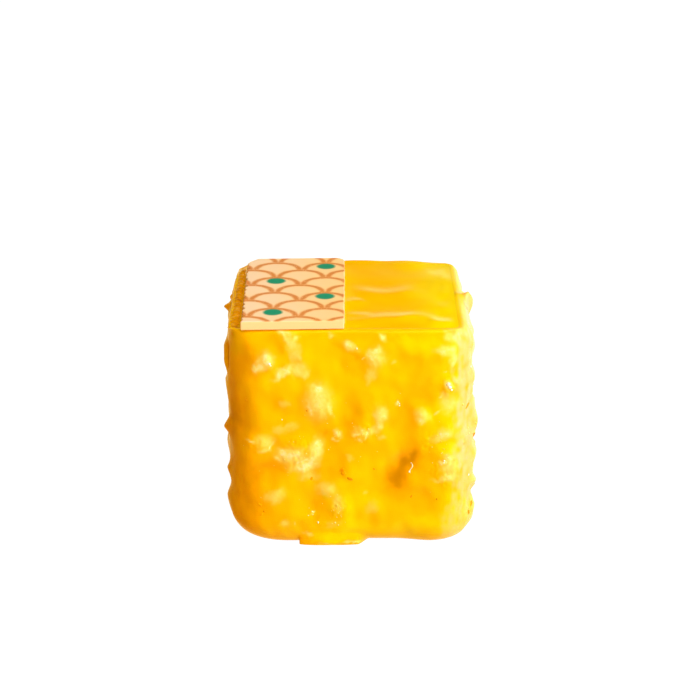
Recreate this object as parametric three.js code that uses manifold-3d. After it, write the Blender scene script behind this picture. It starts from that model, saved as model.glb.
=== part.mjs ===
// Apricot petit four: a cube of mousse cake in a yellow icing full of chopped nuts, with a smooth
// glazed top and a thin plaque of white chocolate lying on the top's left half.
// Millimetres, +Z up. The front faces -Y, and the origin is the middle of the base.

import * as THREE from "three";
import { mergeVertices } from "three/addons/utils/BufferGeometryUtils.js";
import Module from "manifold-3d";

// Cake and its coating
const CAKE_HEIGHT = 30.7;
const TOP_SIDE = 30; // the glazed square on top
const TOP_ACROSS = -0.7; // it sits left of the middle, as the coating is thicker on the right
const GLAZE_CORNER = 1;
const RIM = 0.3; // width of the rim that the coating leaves round the glaze
const SHOULDER = 3; // height over which the coating thins out to its rim
const BASE_ROUND = 4.2; // height over which the coating turns in under the cake
const AROUND = 144; // facets round the coating
const BASE_ROWS = 4;
const WALL_ROWS = 23;
const SHOULDER_ROWS = 4;

// The coating's outlines seen from above are rounded squares: half a side, corner, middle's place across
// and how far they are drawn out from front to back
const WALL = { half: 16.2, corner: 4.3, across: 0, stretch: 1 };
const BASE = { half: 13.6, corner: 4.8, across: 1.3, stretch: 1.02 };
const TOP_RIM = { half: TOP_SIDE / 2 + RIM, corner: GLAZE_CORNER + RIM, across: TOP_ACROSS, stretch: 1 };

// Icing that ran down the front and set on the table
const FOOT_LEFT = [-7.4, -6.8]; // from where to where it swells up, rightwards from the middle
const FOOT_RIGHT = [0.2, 2.4]; // and where it dies away
const FOOT_FLARE = 0.9; // how much further out its ends spread, as a share of the height
const FOOT_INSET = 0.5; // its edge lies this far inside the wall's outline

// Chopped nuts: uneven six sided chunks under the icing
const NUT_SIDES = 6;
const NUT_TURN = 0.5; // how far a side strays from its even angle, as a share of the step between sides
const NUT_REACH = [0.85, 1.15]; // how far out a side lies, as a share of its even distance
const NUT_SHARPNESS = 4.5; // how crisp the corners of a chunk are
const NUT_SHOULDER = 2.1; // how flat a chunk is on top
const HOLLOW_SHOULDER = 1.6; // how flat a hollow's bottom is
const NUT_END = 3; // half lengths from its middle at which a chunk has no more lift
const NUT_FUSE = 3; // how far neighbouring chunks stay apart
const RIM_FADE = 1; // height below the rim over which chunks get lower
const RIM_LIFT = 0.5; // share of its height that a chunk keeps at the rim

// Chunks scattered by draw, on a grid whose every other column sits higher
const NUT_SEED = 41;
const NUT_PITCH = 4.3;
const NUT_STAGGER = 0.25; // as shares of the pitch
const NUT_STRAY_ALONG = 0.6;
const NUT_STRAY_UP = 0.5;
const NUT_HALF_LENGTH = [1.2, 2.5];
const NUT_HALF_WIDTH = [1.0, 1.7];
const NUT_PROUD = [0.4, 1.05];
const BARE_SHARE = 0.12; // places where a draw leaves no chunk
const BARE_TOP = 2.5; // the draw leaves this much of the wall free of chunks at the top

// Glaze and plaque
const GLAZE_DEPTH = 1;
const GAP = 0.1; // clearance between pieces that touch
const PLAQUE_WIDTH = 13.5;
const PLAQUE_LENGTH = 28;
const PLAQUE_THICKNESS = 1.2;
const PLAQUE_LEFT = -14.3;
const PLAQUE_OVERHANG = 0.4; // past the glaze, at the front
const PLAQUE_CORNER = 1.5; // the rounded corner at its back right
const PLAQUE_SLANT = 0.04; // how far its ends lean off square, forwards on the left
const JAG_PITCH = 0.8; // between a tip and a notch along its broken left edge
const JAG_DEPTH = [0.15, 0.45]; // of a notch
const JAG_TIP = 0.2; // depth of a tip, as a share of a notch's
const JAG_SEED = 7;

// The chunks that stand out, each placed by hand: how far round from the middle of the front (rightwards
// is positive), up, half length, half width, tilt in degrees, how proud. A negative height is a hollow.
const PLACED_NUTS = [
  [-10.9, 26.4, 1.6, 1.3, 60, 0.55],
  [-8.0, 28.5, 2.5, 1.2, -62, 0.4],
  [-8.2, 24.9, 2.5, 1.4, 26, 0.46],
  [0.0, 28.7, 1.3, 0.8, -20, 0.29],
  [4.0, 29.4, 0.9, 0.8, 0, 0.25],
  [3.3, 26.6, 2.7, 1.3, 66, 0.43],
  [12.7, 27.6, 1.8, 1.5, 30, 0.38],
  [13.3, 22.9, 1.3, 1.0, 80, 0.46],
  [13.2, 20.2, 2.3, 1.9, 70, 0.32],
  [-4.0, 20.8, 2.5, 1.8, 96, 0.55],
  [-8.7, 20.4, 1.3, 1.1, 10, 0.25],
  [4.0, 18.7, 2.5, 1.5, 86, 0.52],
  [9.6, 18.7, 1.4, 1.2, 100, 0.43],
  [1.9, 16.4, 1.4, 1.0, 30, 0.34],
  [-1.6, 16.1, 1.1, 1.0, 70, 0.26],
  [-8.3, 17.0, 2.0, 1.1, 14, 0.25],
  [-11.9, 14.7, 2.1, 1.2, -24, 0.38],
  [-6.5, 13.2, 3.4, 2.2, 12, 0.55],
  [12.4, 16.4, 1.9, 1.2, 30, 0.4],
  [13.2, 12.0, 3.4, 2.0, 92, 0.55],
  [8.9, 9.2, 2.6, 1.5, -12, 0.25],
  [0.0, 10.6, 1.1, 0.9, 20, 0.25],
  [-2.9, 8.3, 1.6, 1.3, 40, 0.43],
  [-1.5, 5.8, 2.0, 1.2, 112, 0.25],
  [-9.9, 7.5, 1.8, 1.4, 24, 0.34],
  [3.0, 5.8, 1.5, 1.2, 0, 0.25],
  [6.7, 11.9, 3.8, 2.0, 52, -0.8],
  [9.9, 22.8, 3.4, 2.4, -35, -0.4],
  [-10.1, 11.2, 3.4, 1.9, 0, -0.4],
  [0.0, 18.4, 2.8, 1.8, 80, -0.4],
  [7.2, 19.4, 2.6, 1.5, 85, -0.4],
  [-4.6, 6.2, 3.2, 2.0, 70, -0.45],
  [-1.2, 26.0, 2.6, 1.8, 75, -0.3],
  [-14.2, 18.5, 4.5, 2.4, 85, -0.45],
  [-18.4, 25.6, 1.9, 1.2, 84, 0.65],
  [-18.8, 21.4, 1.7, 1.1, 80, 0.5],
  [-18.2, 16.3, 1.0, 0.7, 20, 0.75],
  [-18.4, 9.7, 1.1, 0.8, -20, 0.45],
  [-18.6, 5.4, 1.5, 1.0, 60, 0.3],
  [18.3, 28.3, 1.6, 1.0, 70, 0.4],
  [18.5, 23.4, 1.2, 0.9, 20, 0.65],
  [18.4, 17.2, 2.0, 1.2, 84, 0.85],
  [18.8, 12.2, 1.6, 1.2, 70, 0.8],
  [18.3, 8.4, 1.0, 0.7, 0, 0.6],
  [18.4, 4.6, 1.4, 1.1, 30, 0.7],
  [18.8, 2.8, 2.6, 2.0, 90, 0.6],
  [31.6, 28.6, 1.8, 1.3, 84, 1],
  [-25.2, 29.2, 1.7, 1.0, 20, 1],
  [-28.6, 29.6, 1.2, 0.9, 70, 0.9],
  [-33.2, 29.1, 1.9, 1.3, -30, 1.1],
  [38.5, 28.6, 5.5, 1.7, 0, -0.9],
];
const PLACED_HALF = 20.5; // how far to either side they leave no chunk to the draw

const wasm = await Module();
wasm.setup();

const SIDE_RUN = sideRunOf(WALL);
const GIRTH = 4 * SIDE_RUN;
const { degToRad, euclideanModulo, lerp, smoothstep } = THREE.MathUtils;

// A repeatable draw from low to high, by a linear congruential generator
function drawFrom(seed) {
  const modulus = 2 ** 32;
  let state = seed;
  return ([low, high]) => {
    state = (state * 1664525 + 1013904223) % modulus;
    return lerp(low, high, state / modulus);
  };
}

function strayBy(amount) {
  return [-amount / 2, amount / 2];
}

// One straight side and one corner of an outline
function sideRunOf({ half, corner }) {
  return 2 * (half - corner) + (Math.PI / 2) * corner;
}

// A point on an outline, and the way out from there. The share of the way round runs rightwards from
// the middle of the front.
function outlineAt(share, outline) {
  const { half, corner, across, stretch } = outline;
  const straight = 2 * (half - corner);
  const sideRun = sideRunOf(outline);
  const fromCorner = euclideanModulo(share * 4 * sideRun + straight / 2, 4 * sideRun);
  const side = Math.floor(fromCorner / sideRun);
  const onSide = fromCorner - side * sideRun;
  const bend = Math.max(0, onSide - straight) / corner;
  const out = new THREE.Vector2(Math.sin(bend), -Math.cos(bend));
  const point = new THREE.Vector2(Math.min(onSide, straight) - straight / 2, corner - half);
  point.addScaledVector(out, corner);
  const middle = new THREE.Vector2();
  const turn = (side * Math.PI) / 2;
  out.rotateAround(middle, turn);
  point.rotateAround(middle, turn);
  point.x += across;
  point.y *= stretch;
  return { point, out };
}

// The coating's upright profile by row: the two outlines that it lies between, its height and its slope
function profileAt(row) {
  if (row <= BASE_ROWS) {
    const bend = (row / BASE_ROWS) * (Math.PI / 2);
    return {
      ends: [BASE, WALL],
      blend: Math.sin(bend),
      up: BASE_ROUND * (1 - Math.cos(bend)),
      outward: Math.sin(bend),
      upward: -Math.cos(bend),
    };
  }
  const wallTop = CAKE_HEIGHT - SHOULDER;
  if (row <= BASE_ROWS + WALL_ROWS) {
    const share = (row - BASE_ROWS) / WALL_ROWS;
    return { ends: [WALL, WALL], blend: 0, up: lerp(BASE_ROUND, wallTop, share), outward: 1, upward: 0 };
  }
  const bend = ((row - BASE_ROWS - WALL_ROWS) / SHOULDER_ROWS) * (Math.PI / 2);
  const thinning = WALL.half - TOP_RIM.half;
  const slope = new THREE.Vector2(Math.cos(bend) / thinning, Math.sin(bend) / SHOULDER).normalize();
  return {
    ends: [WALL, TOP_RIM],
    blend: 1 - Math.cos(bend),
    up: wallTop + SHOULDER * Math.sin(bend),
    outward: slope.x,
    upward: slope.y,
  };
}

// One chunk, with the draws that make its outline uneven
function makeNut(along, up, halfLength, halfWidth, tilt, proud, draw) {
  const sides = [];
  for (let i = 0; i < NUT_SIDES; i++) {
    const angle = ((i + draw(strayBy(NUT_TURN))) / NUT_SIDES) * 2 * Math.PI;
    sides.push({ x: Math.cos(angle), y: Math.sin(angle), reach: draw(NUT_REACH) });
  }
  return { along, up, halfLength, halfWidth, tilt: degToRad(tilt), proud, sides };
}

function makeNuts() {
  const draw = drawFrom(NUT_SEED);
  const nuts = PLACED_NUTS.map((row) => makeNut(...row, draw));
  const span = GIRTH - 2 * PLACED_HALF;
  const height = CAKE_HEIGHT - BARE_TOP - BASE_ROUND;
  const columns = Math.round(span / NUT_PITCH);
  const rows = Math.round(height / NUT_PITCH);
  for (let column = 0; column < columns; column++) {
    for (let row = 0; row < rows; row++) {
      const stagger = column % 2 ? NUT_STAGGER : -NUT_STAGGER;
      const across = column + 0.5 + draw(strayBy(NUT_STRAY_ALONG));
      const above = row + 0.5 + stagger + draw(strayBy(NUT_STRAY_UP));
      const nut = makeNut(
        PLACED_HALF + (across / columns) * span,
        BASE_ROUND + (above / rows) * height,
        draw(NUT_HALF_LENGTH),
        draw(NUT_HALF_WIDTH),
        draw([0, 180]),
        draw(NUT_PROUD),
        draw,
      );
      if (draw([0, 1]) > BARE_SHARE) nuts.push(nut);
    }
  }
  return nuts;
}

// How far one chunk lifts the icing at a place on the side
function liftOf(nut, along, up) {
  const across = euclideanModulo(along - nut.along + GIRTH / 2, GIRTH) - GIRTH / 2;
  const above = up - nut.up;
  const u = (across * Math.cos(nut.tilt) + above * Math.sin(nut.tilt)) / nut.halfLength;
  const v = (above * Math.cos(nut.tilt) - across * Math.sin(nut.tilt)) / nut.halfWidth;
  if (Math.hypot(u, v) > NUT_END) return 0;
  let sum = 0;
  for (const side of nut.sides) {
    sum += Math.max(0, (side.x * u + side.y * v) / side.reach) ** NUT_SHARPNESS;
  }
  const shoulder = nut.proud < 0 ? HOLLOW_SHOULDER : NUT_SHOULDER;
  return nut.proud * Math.exp(-(sum ** (shoulder / NUT_SHARPNESS)));
}

// How far the icing stands off the wall at a place: chunks side by side don't add up, hollows do
function reliefAt(nuts, along, up) {
  let raised = 0;
  let sunk = 0;
  for (const nut of nuts) {
    const lift = liftOf(nut, along, up);
    raised += Math.max(0, lift) ** NUT_FUSE;
    sunk += Math.min(0, lift);
  }
  const atRim = smoothstep(up, CAKE_HEIGHT - RIM_FADE, CAKE_HEIGHT);
  const fade = smoothstep(up, 0, BASE_ROUND) * lerp(1, RIM_LIFT, atRim);
  return (raised ** (1 / NUT_FUSE) + sunk) * fade;
}

// Where the icing ran down, the base is filled out again to near the wall's outline
function fillFoot(point, wallPoint, along, up) {
  const inset = point.distanceTo(wallPoint);
  const flare = FOOT_FLARE * up;
  const fromLeft = smoothstep(along, FOOT_LEFT[0] - flare, FOOT_LEFT[1] + flare);
  const fromRight = 1 - smoothstep(along, FOOT_RIGHT[0] - flare, FOOT_RIGHT[1] + flare);
  const here = fromLeft * fromRight;
  if (inset > FOOT_INSET) point.lerp(wallPoint, here * (1 - FOOT_INSET / inset));
}

function makeCoatedCake() {
  const nuts = makeNuts();
  const rows = BASE_ROWS + WALL_ROWS + SHOULDER_ROWS;
  const drum = new THREE.CylinderGeometry(1, 1, rows, AROUND, rows).rotateX(Math.PI / 2);
  const skin = bareGeometry(drum);
  const position = skin.getAttribute("position");
  const at = new THREE.Vector3();
  for (let i = 0; i < position.count; i++) {
    at.fromBufferAttribute(position, i);
    const row = Math.round(at.z + rows / 2);
    const isMiddleOfEnd = Math.hypot(at.x, at.y) < 0.5;
    if (isMiddleOfEnd) {
      position.setXYZ(i, 0, 0, row ? CAKE_HEIGHT : 0);
      continue;
    }
    const share = Math.atan2(at.x, -at.y) / (2 * Math.PI);
    const { ends, blend, up, outward, upward } = profileAt(row);
    const [from, to] = ends.map((outline) => outlineAt(share, outline).point);
    const wall = outlineAt(share, WALL);
    const point = from.lerp(to, blend);
    if (row < BASE_ROWS) fillFoot(point, wall.point, share * GIRTH, up);
    const lift = reliefAt(nuts, share * GIRTH, up);
    point.addScaledVector(wall.out, lift * outward);
    position.setXYZ(i, point.x, point.y, Math.max(0, up + lift * upward));
  }
  const pocket = extruded(roundedSquare(TOP_SIDE / 2 + GAP, GLAZE_CORNER + GAP), GLAZE_DEPTH + SHOULDER);
  pocket.translate(TOP_ACROSS, 0, CAKE_HEIGHT - GLAZE_DEPTH - GAP);
  return geometryOf(solidOf(skin).subtract(solidOf(pocket)));
}

// Only positions, with shared corners merged, as a closed mesh needs
function bareGeometry(geometry) {
  geometry.deleteAttribute("normal");
  geometry.deleteAttribute("uv");
  return mergeVertices(geometry, 1e-4);
}

function solidOf(geometry) {
  const bare = bareGeometry(geometry);
  return new wasm.Manifold(
    new wasm.Mesh({
      numProp: 3,
      vertProperties: new Float32Array(bare.getAttribute("position").array),
      triVerts: new Uint32Array(bare.index.array),
    }),
  );
}

function geometryOf(solid) {
  const { vertProperties, triVerts } = solid.getMesh();
  return new THREE.BufferGeometry()
    .setAttribute("position", new THREE.BufferAttribute(vertProperties, 3))
    .setIndex(new THREE.BufferAttribute(triVerts, 1));
}

function roundedSquare(half, corner) {
  const shape = new THREE.Shape();
  const quarter = Math.PI / 2;
  const centre = half - corner;
  [[1, -1], [1, 1], [-1, 1], [-1, -1]].forEach(([x, y], i) => {
    shape.absarc(x * centre, y * centre, corner, (i - 1) * quarter, i * quarter);
  });
  return shape;
}

function extruded(shape, depth) {
  return new THREE.ExtrudeGeometry(shape, { depth, bevelEnabled: false, curveSegments: 5 });
}

function makeGlaze() {
  const slab = extruded(roundedSquare(TOP_SIDE / 2, GLAZE_CORNER), GLAZE_DEPTH);
  return slab.translate(TOP_ACROSS, 0, CAKE_HEIGHT - GLAZE_DEPTH);
}

// A flat plaque with a snapped left edge and one rounded corner
function makePlaque() {
  const draw = drawFrom(JAG_SEED);
  const right = PLAQUE_LEFT + PLAQUE_WIDTH;
  const front = -TOP_SIDE / 2 - PLAQUE_OVERHANG;
  const back = front + PLAQUE_LENGTH;
  const shape = new THREE.Shape();
  shape.moveTo(PLAQUE_LEFT, front);
  shape.lineTo(right, front);
  shape.absarc(right - PLAQUE_CORNER, back - PLAQUE_CORNER, PLAQUE_CORNER, 0, Math.PI / 2);
  shape.lineTo(PLAQUE_LEFT + PLAQUE_CORNER, back);
  const run = PLAQUE_LENGTH - PLAQUE_CORNER;
  const teeth = Math.round(run / JAG_PITCH);
  for (let i = teeth; i > 0; i--) {
    const depth = draw(JAG_DEPTH) * (i % 2 ? 1 : JAG_TIP);
    shape.lineTo(PLAQUE_LEFT + depth, front + (i / teeth) * run);
  }
  shape.closePath();
  const slanted = extruded(shape, PLAQUE_THICKNESS).applyMatrix4(
    new THREE.Matrix4().makeShear(PLAQUE_SLANT, 0, 0, 0, 0, 0),
  );
  return slanted.translate(0, 0, CAKE_HEIGHT + GAP);
}

function piece(name, geometry, color, roughness) {
  const material = new THREE.MeshStandardMaterial({ color, roughness, metalness: 0 });
  const mesh = new THREE.Mesh(geometry, material);
  mesh.name = name;
  return mesh;
}

const petitFour = new THREE.Group();
petitFour.add(piece("coated_cake", makeCoatedCake(), 0xffc800, 0.3));
petitFour.add(piece("apricot_glaze", makeGlaze(), 0xffc400, 0.2));
petitFour.add(piece("chocolate_plaque", makePlaque(), 0xf8dcaa, 0.45));

export default petitFour;
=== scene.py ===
import math

import bpy
import numpy as np
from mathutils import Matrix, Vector


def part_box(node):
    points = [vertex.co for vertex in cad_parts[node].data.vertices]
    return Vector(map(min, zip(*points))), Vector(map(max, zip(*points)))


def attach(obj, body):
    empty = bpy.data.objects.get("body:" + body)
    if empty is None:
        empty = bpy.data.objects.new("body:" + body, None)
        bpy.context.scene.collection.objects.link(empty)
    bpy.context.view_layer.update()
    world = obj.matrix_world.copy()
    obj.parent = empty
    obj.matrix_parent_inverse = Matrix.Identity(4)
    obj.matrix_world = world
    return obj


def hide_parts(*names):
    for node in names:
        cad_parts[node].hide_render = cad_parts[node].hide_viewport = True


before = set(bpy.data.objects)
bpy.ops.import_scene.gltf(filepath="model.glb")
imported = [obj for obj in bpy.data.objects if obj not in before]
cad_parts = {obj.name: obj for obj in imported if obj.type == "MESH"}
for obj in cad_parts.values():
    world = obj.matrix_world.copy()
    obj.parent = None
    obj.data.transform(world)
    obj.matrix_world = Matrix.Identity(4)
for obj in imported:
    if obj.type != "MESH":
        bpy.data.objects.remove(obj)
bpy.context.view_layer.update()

mm = 0.001  # lengths below are millimetres unless a name says otherwise
print("frame loaded")


def boxOf(node):
    low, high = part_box(node)
    return np.array(low) / mm, np.array(high) / mm


glazeLow, glazeHigh = boxOf("apricot_glaze")
plaqueLow, plaqueHigh = boxOf("chocolate_plaque")
cakeTop = glazeHigh[2]
topHalf = (glazeHigh[0] - glazeLow[0]) / 2
topAcross = (glazeHigh[0] + glazeLow[0]) / 2


# Numbers and fields

def drawFrom(seed):  # a repeatable draw, the same one that the solids use
    state = seed

    def draw(low, high):
        nonlocal state
        state = (state * 1664525 + 1013904223) % 2**32
        return low + (high - low) * state / 2**32
    return draw


def smooth(value, start, end):
    share = np.clip((value - start) / (end - start), 0, 1)
    return share * share * (3 - 2 * share)


def band(value, start, full, fading, end):  # 1 from full to fading, 0 before start and after end
    return smooth(value, start, full) * (1 - smooth(value, fading, end))


def lerp(low, high, share):
    return low + (high - low) * share


# A soft random field, about -1 to 1, that closes round the cake
def waves(along, up, length, girth, seed, count=24):
    random = np.random.default_rng(seed)
    field = np.zeros(np.broadcast(along, up).shape)
    for _ in range(count):
        angle = random.uniform(0, 2 * math.pi)
        pace = random.uniform(0.7, 1.4) / length
        turns = round(girth * pace * math.cos(angle))  # whole waves round the girth
        phase = random.uniform(0, 2 * math.pi)
        field += np.cos(2 * math.pi * (turns * along / girth + pace * math.sin(angle) * up) + phase)
    return field * math.sqrt(2 / count) / 2


def blurred(field, steps):  # softens a field whose second axis closes on itself
    for _ in range(steps):
        padded = np.vstack([field[:1], field, field[-1:]])
        field = 0.5 * field + 0.25 * (padded[:-2] + padded[2:])
        field = 0.5 * field + 0.25 * (np.roll(field, 1, 1) + np.roll(field, -1, 1))
    return field


# Outlines seen from above: rounded squares, walked rightwards from the middle of the front

def sideRunOf(half, corner):
    return 2 * (half - corner) + math.pi / 2 * corner


def outlineAt(share, half, corner, across=0.0):
    straight = 2 * (half - corner)
    sideRun = sideRunOf(half, corner)
    fromCorner = np.mod(share * 4 * sideRun + straight / 2, 4 * sideRun)
    side = np.minimum(np.floor(fromCorner / sideRun), 3)
    onSide = fromCorner - side * sideRun
    bend = np.maximum(0, onSide - straight) / np.maximum(corner, 1e-6)
    outX, outY = np.sin(bend), -np.cos(bend)
    x = np.minimum(onSide, straight) - straight / 2 + outX * corner
    y = corner - half + outY * corner
    turn = side * math.pi / 2
    cos, sin = np.cos(turn), np.sin(turn)
    return x * cos - y * sin + across, x * sin + y * cos, outX * cos - outY * sin, outX * sin + outY * cos


# Meshes

# Faces from flatFrom on have crisp edges
def newPiece(name, points, faces, material, flatFrom=None, fields=()):
    mesh = bpy.data.meshes.new(name)
    mesh.from_pydata((np.asarray(points) * mm).tolist(), [], faces)
    mesh.validate()
    mesh.materials.append(material)
    flatFrom = len(faces) if flatFrom is None else flatFrom
    mesh.polygons.foreach_set("use_smooth", [i < flatFrom for i in range(len(mesh.polygons))])
    for field, values in dict(fields).items():
        attribute = mesh.attributes.new(field, "FLOAT", "POINT")
        attribute.data.foreach_set("value", np.asarray(values, dtype=np.float32))
    piece = bpy.data.objects.new(name, mesh)
    bpy.context.scene.collection.objects.link(piece)
    return piece


def ringFaces(rings, around, bottom, top):  # quads between rings of points, closed at a point at each end
    faces = []
    for ring in range(rings - 1):
        low, high = ring * around, (ring + 1) * around
        for i in range(around):
            j = (i + 1) % around
            faces.append((low + i, low + j, high + j, high + i))
    faces += [((i + 1) % around, i, bottom) for i in range(around)]
    last = (rings - 1) * around
    faces += [(last + i, last + (i + 1) % around, top) for i in range(around)]
    return faces


def gridFaces(rows, width, first=0, turned=False):  # quads between rows of points
    faces = []
    for row in range(rows - 1):
        for column in range(width - 1):
            a = first + row * width + column
            b = a + width
            faces.append((a, b, b + 1, a + 1) if turned else (a, a + 1, b + 1, b))
    return faces


# Shaders

class Socket:  # one output of a shader node: sums with it add Math nodes
    def __init__(self, tree, output=None):
        self.tree = tree
        self.output = output

    def node(self, kind, settings, inputs, output=0):  # any other node
        made = self.tree.nodes.new("ShaderNode" + kind)
        for name, value in settings.items():
            setattr(made, name, value)
        for socket, value in inputs.items():
            self.feed(made.inputs[socket], value)
        return Socket(self.tree, made.outputs[output])

    def feed(self, socket, value):
        if isinstance(value, Socket):
            self.tree.links.new(value.output, socket)
        elif isinstance(value, tuple) and len(value) == 3 and socket.type == "RGBA":
            socket.default_value = (*value, 1)
        else:
            socket.default_value = value

    def maths(self, operation, first, second):
        return self.node("Math", {"operation": operation}, {0: first, 1: second})

    def __add__(self, other):
        return self.maths("ADD", self, other)

    def __sub__(self, other):
        return self.maths("SUBTRACT", self, other)

    def __rsub__(self, other):
        return self.maths("SUBTRACT", other, self)

    def __mul__(self, other):
        return self.maths("MULTIPLY", self, other)

    def __truediv__(self, other):
        return self.maths("DIVIDE", self, other)

    def __pow__(self, other):
        return self.maths("POWER", self, other)

    __radd__ = __add__
    __rmul__ = __mul__

    def clipped(self):
        return self.maths("MINIMUM", self.maths("MAXIMUM", self, 0), 1)

    def between(self, start, end):  # 0 up to start, 1 from end, smooth between
        settings = {"interpolation_type": "SMOOTHSTEP"}
        return self.node("MapRange", settings, {"Value": self, "From Min": start, "From Max": end})

    def absolute(self):
        return self.maths("ABSOLUTE", self, 0)

    def field(self, name):  # a number stored on the mesh
        return self.node("Attribute", {"attribute_name": name}, {}, "Fac")

    def place(self):
        return self.node("TexCoord", {}, {}, "Object")

    def noise(self, vector, scale, detail, roughness=0.5):
        inputs = {"Vector": vector, "Scale": scale, "Detail": detail, "Roughness": roughness}
        return self.node("TexNoise", {}, inputs)

    def mix(self, factor, first, second):  # of two colours
        return self.node("Mix", {"data_type": "RGBA"}, {0: factor, 6: first, 7: second}, 2)

    def bump(self, height, distance, strength):
        return self.node("Bump", {}, {"Height": height, "Distance": distance, "Strength": strength})


def newMaterial(name, constants):  # constants are set on the shader's own sockets
    material = bpy.data.materials.new(name)
    material.use_nodes = True
    shader = material.node_tree.nodes["Principled BSDF"]
    for socket, value in constants.items():
        shader.inputs[socket].default_value = value
    return material, Socket(material.node_tree), shader


# Icing and nuts on the sides

cake = {
    "wall": (16.2, 4.3, 0.0),  # half a side, corner and middle's place across, as the solids have them
    "base": (13.6, 4.8, 1.3),  # the same, where it stands on the table
    "baseStretch": 1.02,  # it is drawn out from front to back
    "baseInset": 1.0,  # right of the foot it lies this much further back
    "rim": 0.3,
    "glazeCorner": 1.0,
    "shoulder": 3.0,
    "baseRound": 4.2,
    "frontHalf": 19.0,  # the mesh is finer up to here on either side of the front's middle
    "frontStep": 0.16,
    "backStep": 0.30,
    "baseRows": 22,
    "wallRows": 124,
    "shoulderRows": 18,
    "unevenness": 0.13,  # of the icing between the nuts
    "unevenLength": 6.0,
    "ripple": 0.03,
    "rippleLength": 2.6,
    "wrinkle": 0.065,  # on the nuts
    "wrinkleLength": 1.15,
    "wrinkleSteepness": 1.4,
    "fineWrinkle": 0.025,
    "fineLength": 0.7,
    "wrinkleWaves": 40,  # how many waves make them up
    "plainGrain": 0.2,  # how much they show on nuts outside the list of crumbs
    "plainHeight": 0.8,  # a nut this high shows that much
    "calm": 2.0,  # the unevenness dies out this close to the table and the top
    "warp": 0.2,  # how far outlines of nuts stray
    "warpLength": 3.2,
    "stray": ((0.22, 2.2), (0.12, 0.8)),  # how far outlines of colours stray, and over what length
    "bead": 0.06,  # how far the rim stands up round the glaze
    "lip": [  # outside the glaze's edge, and up as a share of the bead
        (0.24, 0.6),
        (0.16, 1.0),
        (0.04, 1.0),
        (-0.08, 0.7),
        (-0.12, 0.4),
        (-0.2, -0.5),
    ],
    "lipLength": 6.0,  # of the waves along it
    "underGlaze": 0.05,  # how far below the glaze the pocket's floor lies
    "sideRelief": 0.4,  # how much of the nuts' height is left on the left side, as its outline shows
    "frontRelief": 0.6,
}
zones = {  # round the cake from the front's middle, positive to the right: starts, is full, fades, ends
    "left": (-40, -34, -18, -14),  # nuts are lower here
    "right": (14, 17, 44, 48),  # the rim meets the glaze flat
    "nearRight": (14, 18, 24, 28),  # nuts are lower near the top
    "edge": (12, 15, 20, 24),  # deeper in colour, round the front's right edge
    "inset": (0, 2, 6, 11),  # the base lies further back; this one is measured straight across
    "front": (12, 15),  # either side of the middle: fades, ends
    "high": (20, 24),  # up: where nearRight starts and is full
    "highShare": 0.7,  # how much of the left side's lowering it has
}
droop = {  # of the top, towards its back corners
    "right": 0.35,
    "rightAcross": (6, 15),  # from where it starts to where it is full
    "rightBack": (4, 15),
    "left": 0.9,
    "leftAcross": (13.2, 15.8),
    "leftBack": (8, 14.5),
    "wave": 0.05,
    "waveBack": (8, 15),
    "pace": 0.9,  # of the wave, in radians for each millimetre
}
foot = {
    "left": (-8.3, -7.8),  # where it starts and is full
    "right": (0.8, 1.9),  # where it falls off and ends
    "flare": 0.5,  # how much softer its ends get for each millimetre up
    "inset": 0.45,  # how far behind the wall its face lies
    "endInset": 0.4,  # further back at both ends
    "round": 0.12,  # further back where it stands
    "leftRound": 0.6,  # further back at its left end
}
nuts = {
    "seed": 41,
    "sides": 6,
    "turn": 0.5,  # how unevenly its sides face, as a share of their step
    "reach": (0.85, 1.15),  # how far out each side lies
    "sharpness": 4.5,  # of the edges between its sides
    "shoulder": 2.1,  # how steeply it falls off
    "hollowShoulder": 1.6,
    "end": 3,  # half sizes from its middle at which it has died out
    "fuse": 3,  # how crisply neighbours meet
    "rimFade": 1.0,
    "rimLift": 0.5,  # share of its height left at the rim
    "pitch": 4.3,  # from here to bareTop: the nuts that aren't placed one by one
    "stagger": 0.25,
    "strayAlong": 0.6,
    "strayUp": 0.5,
    "halfLength": (1.2, 2.5),
    "halfWidth": (1.0, 1.7),
    "proud": (0.4, 1.05),
    "bareShare": 0.12,  # how many are left out
    "bareTop": 2.5,
    "placedHalf": 20.5,  # the placed ones reach this far from the front's middle
    "lean": 0.15,  # how far the top of a nut leans one way
    "leanSeed": 5,
}
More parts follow.
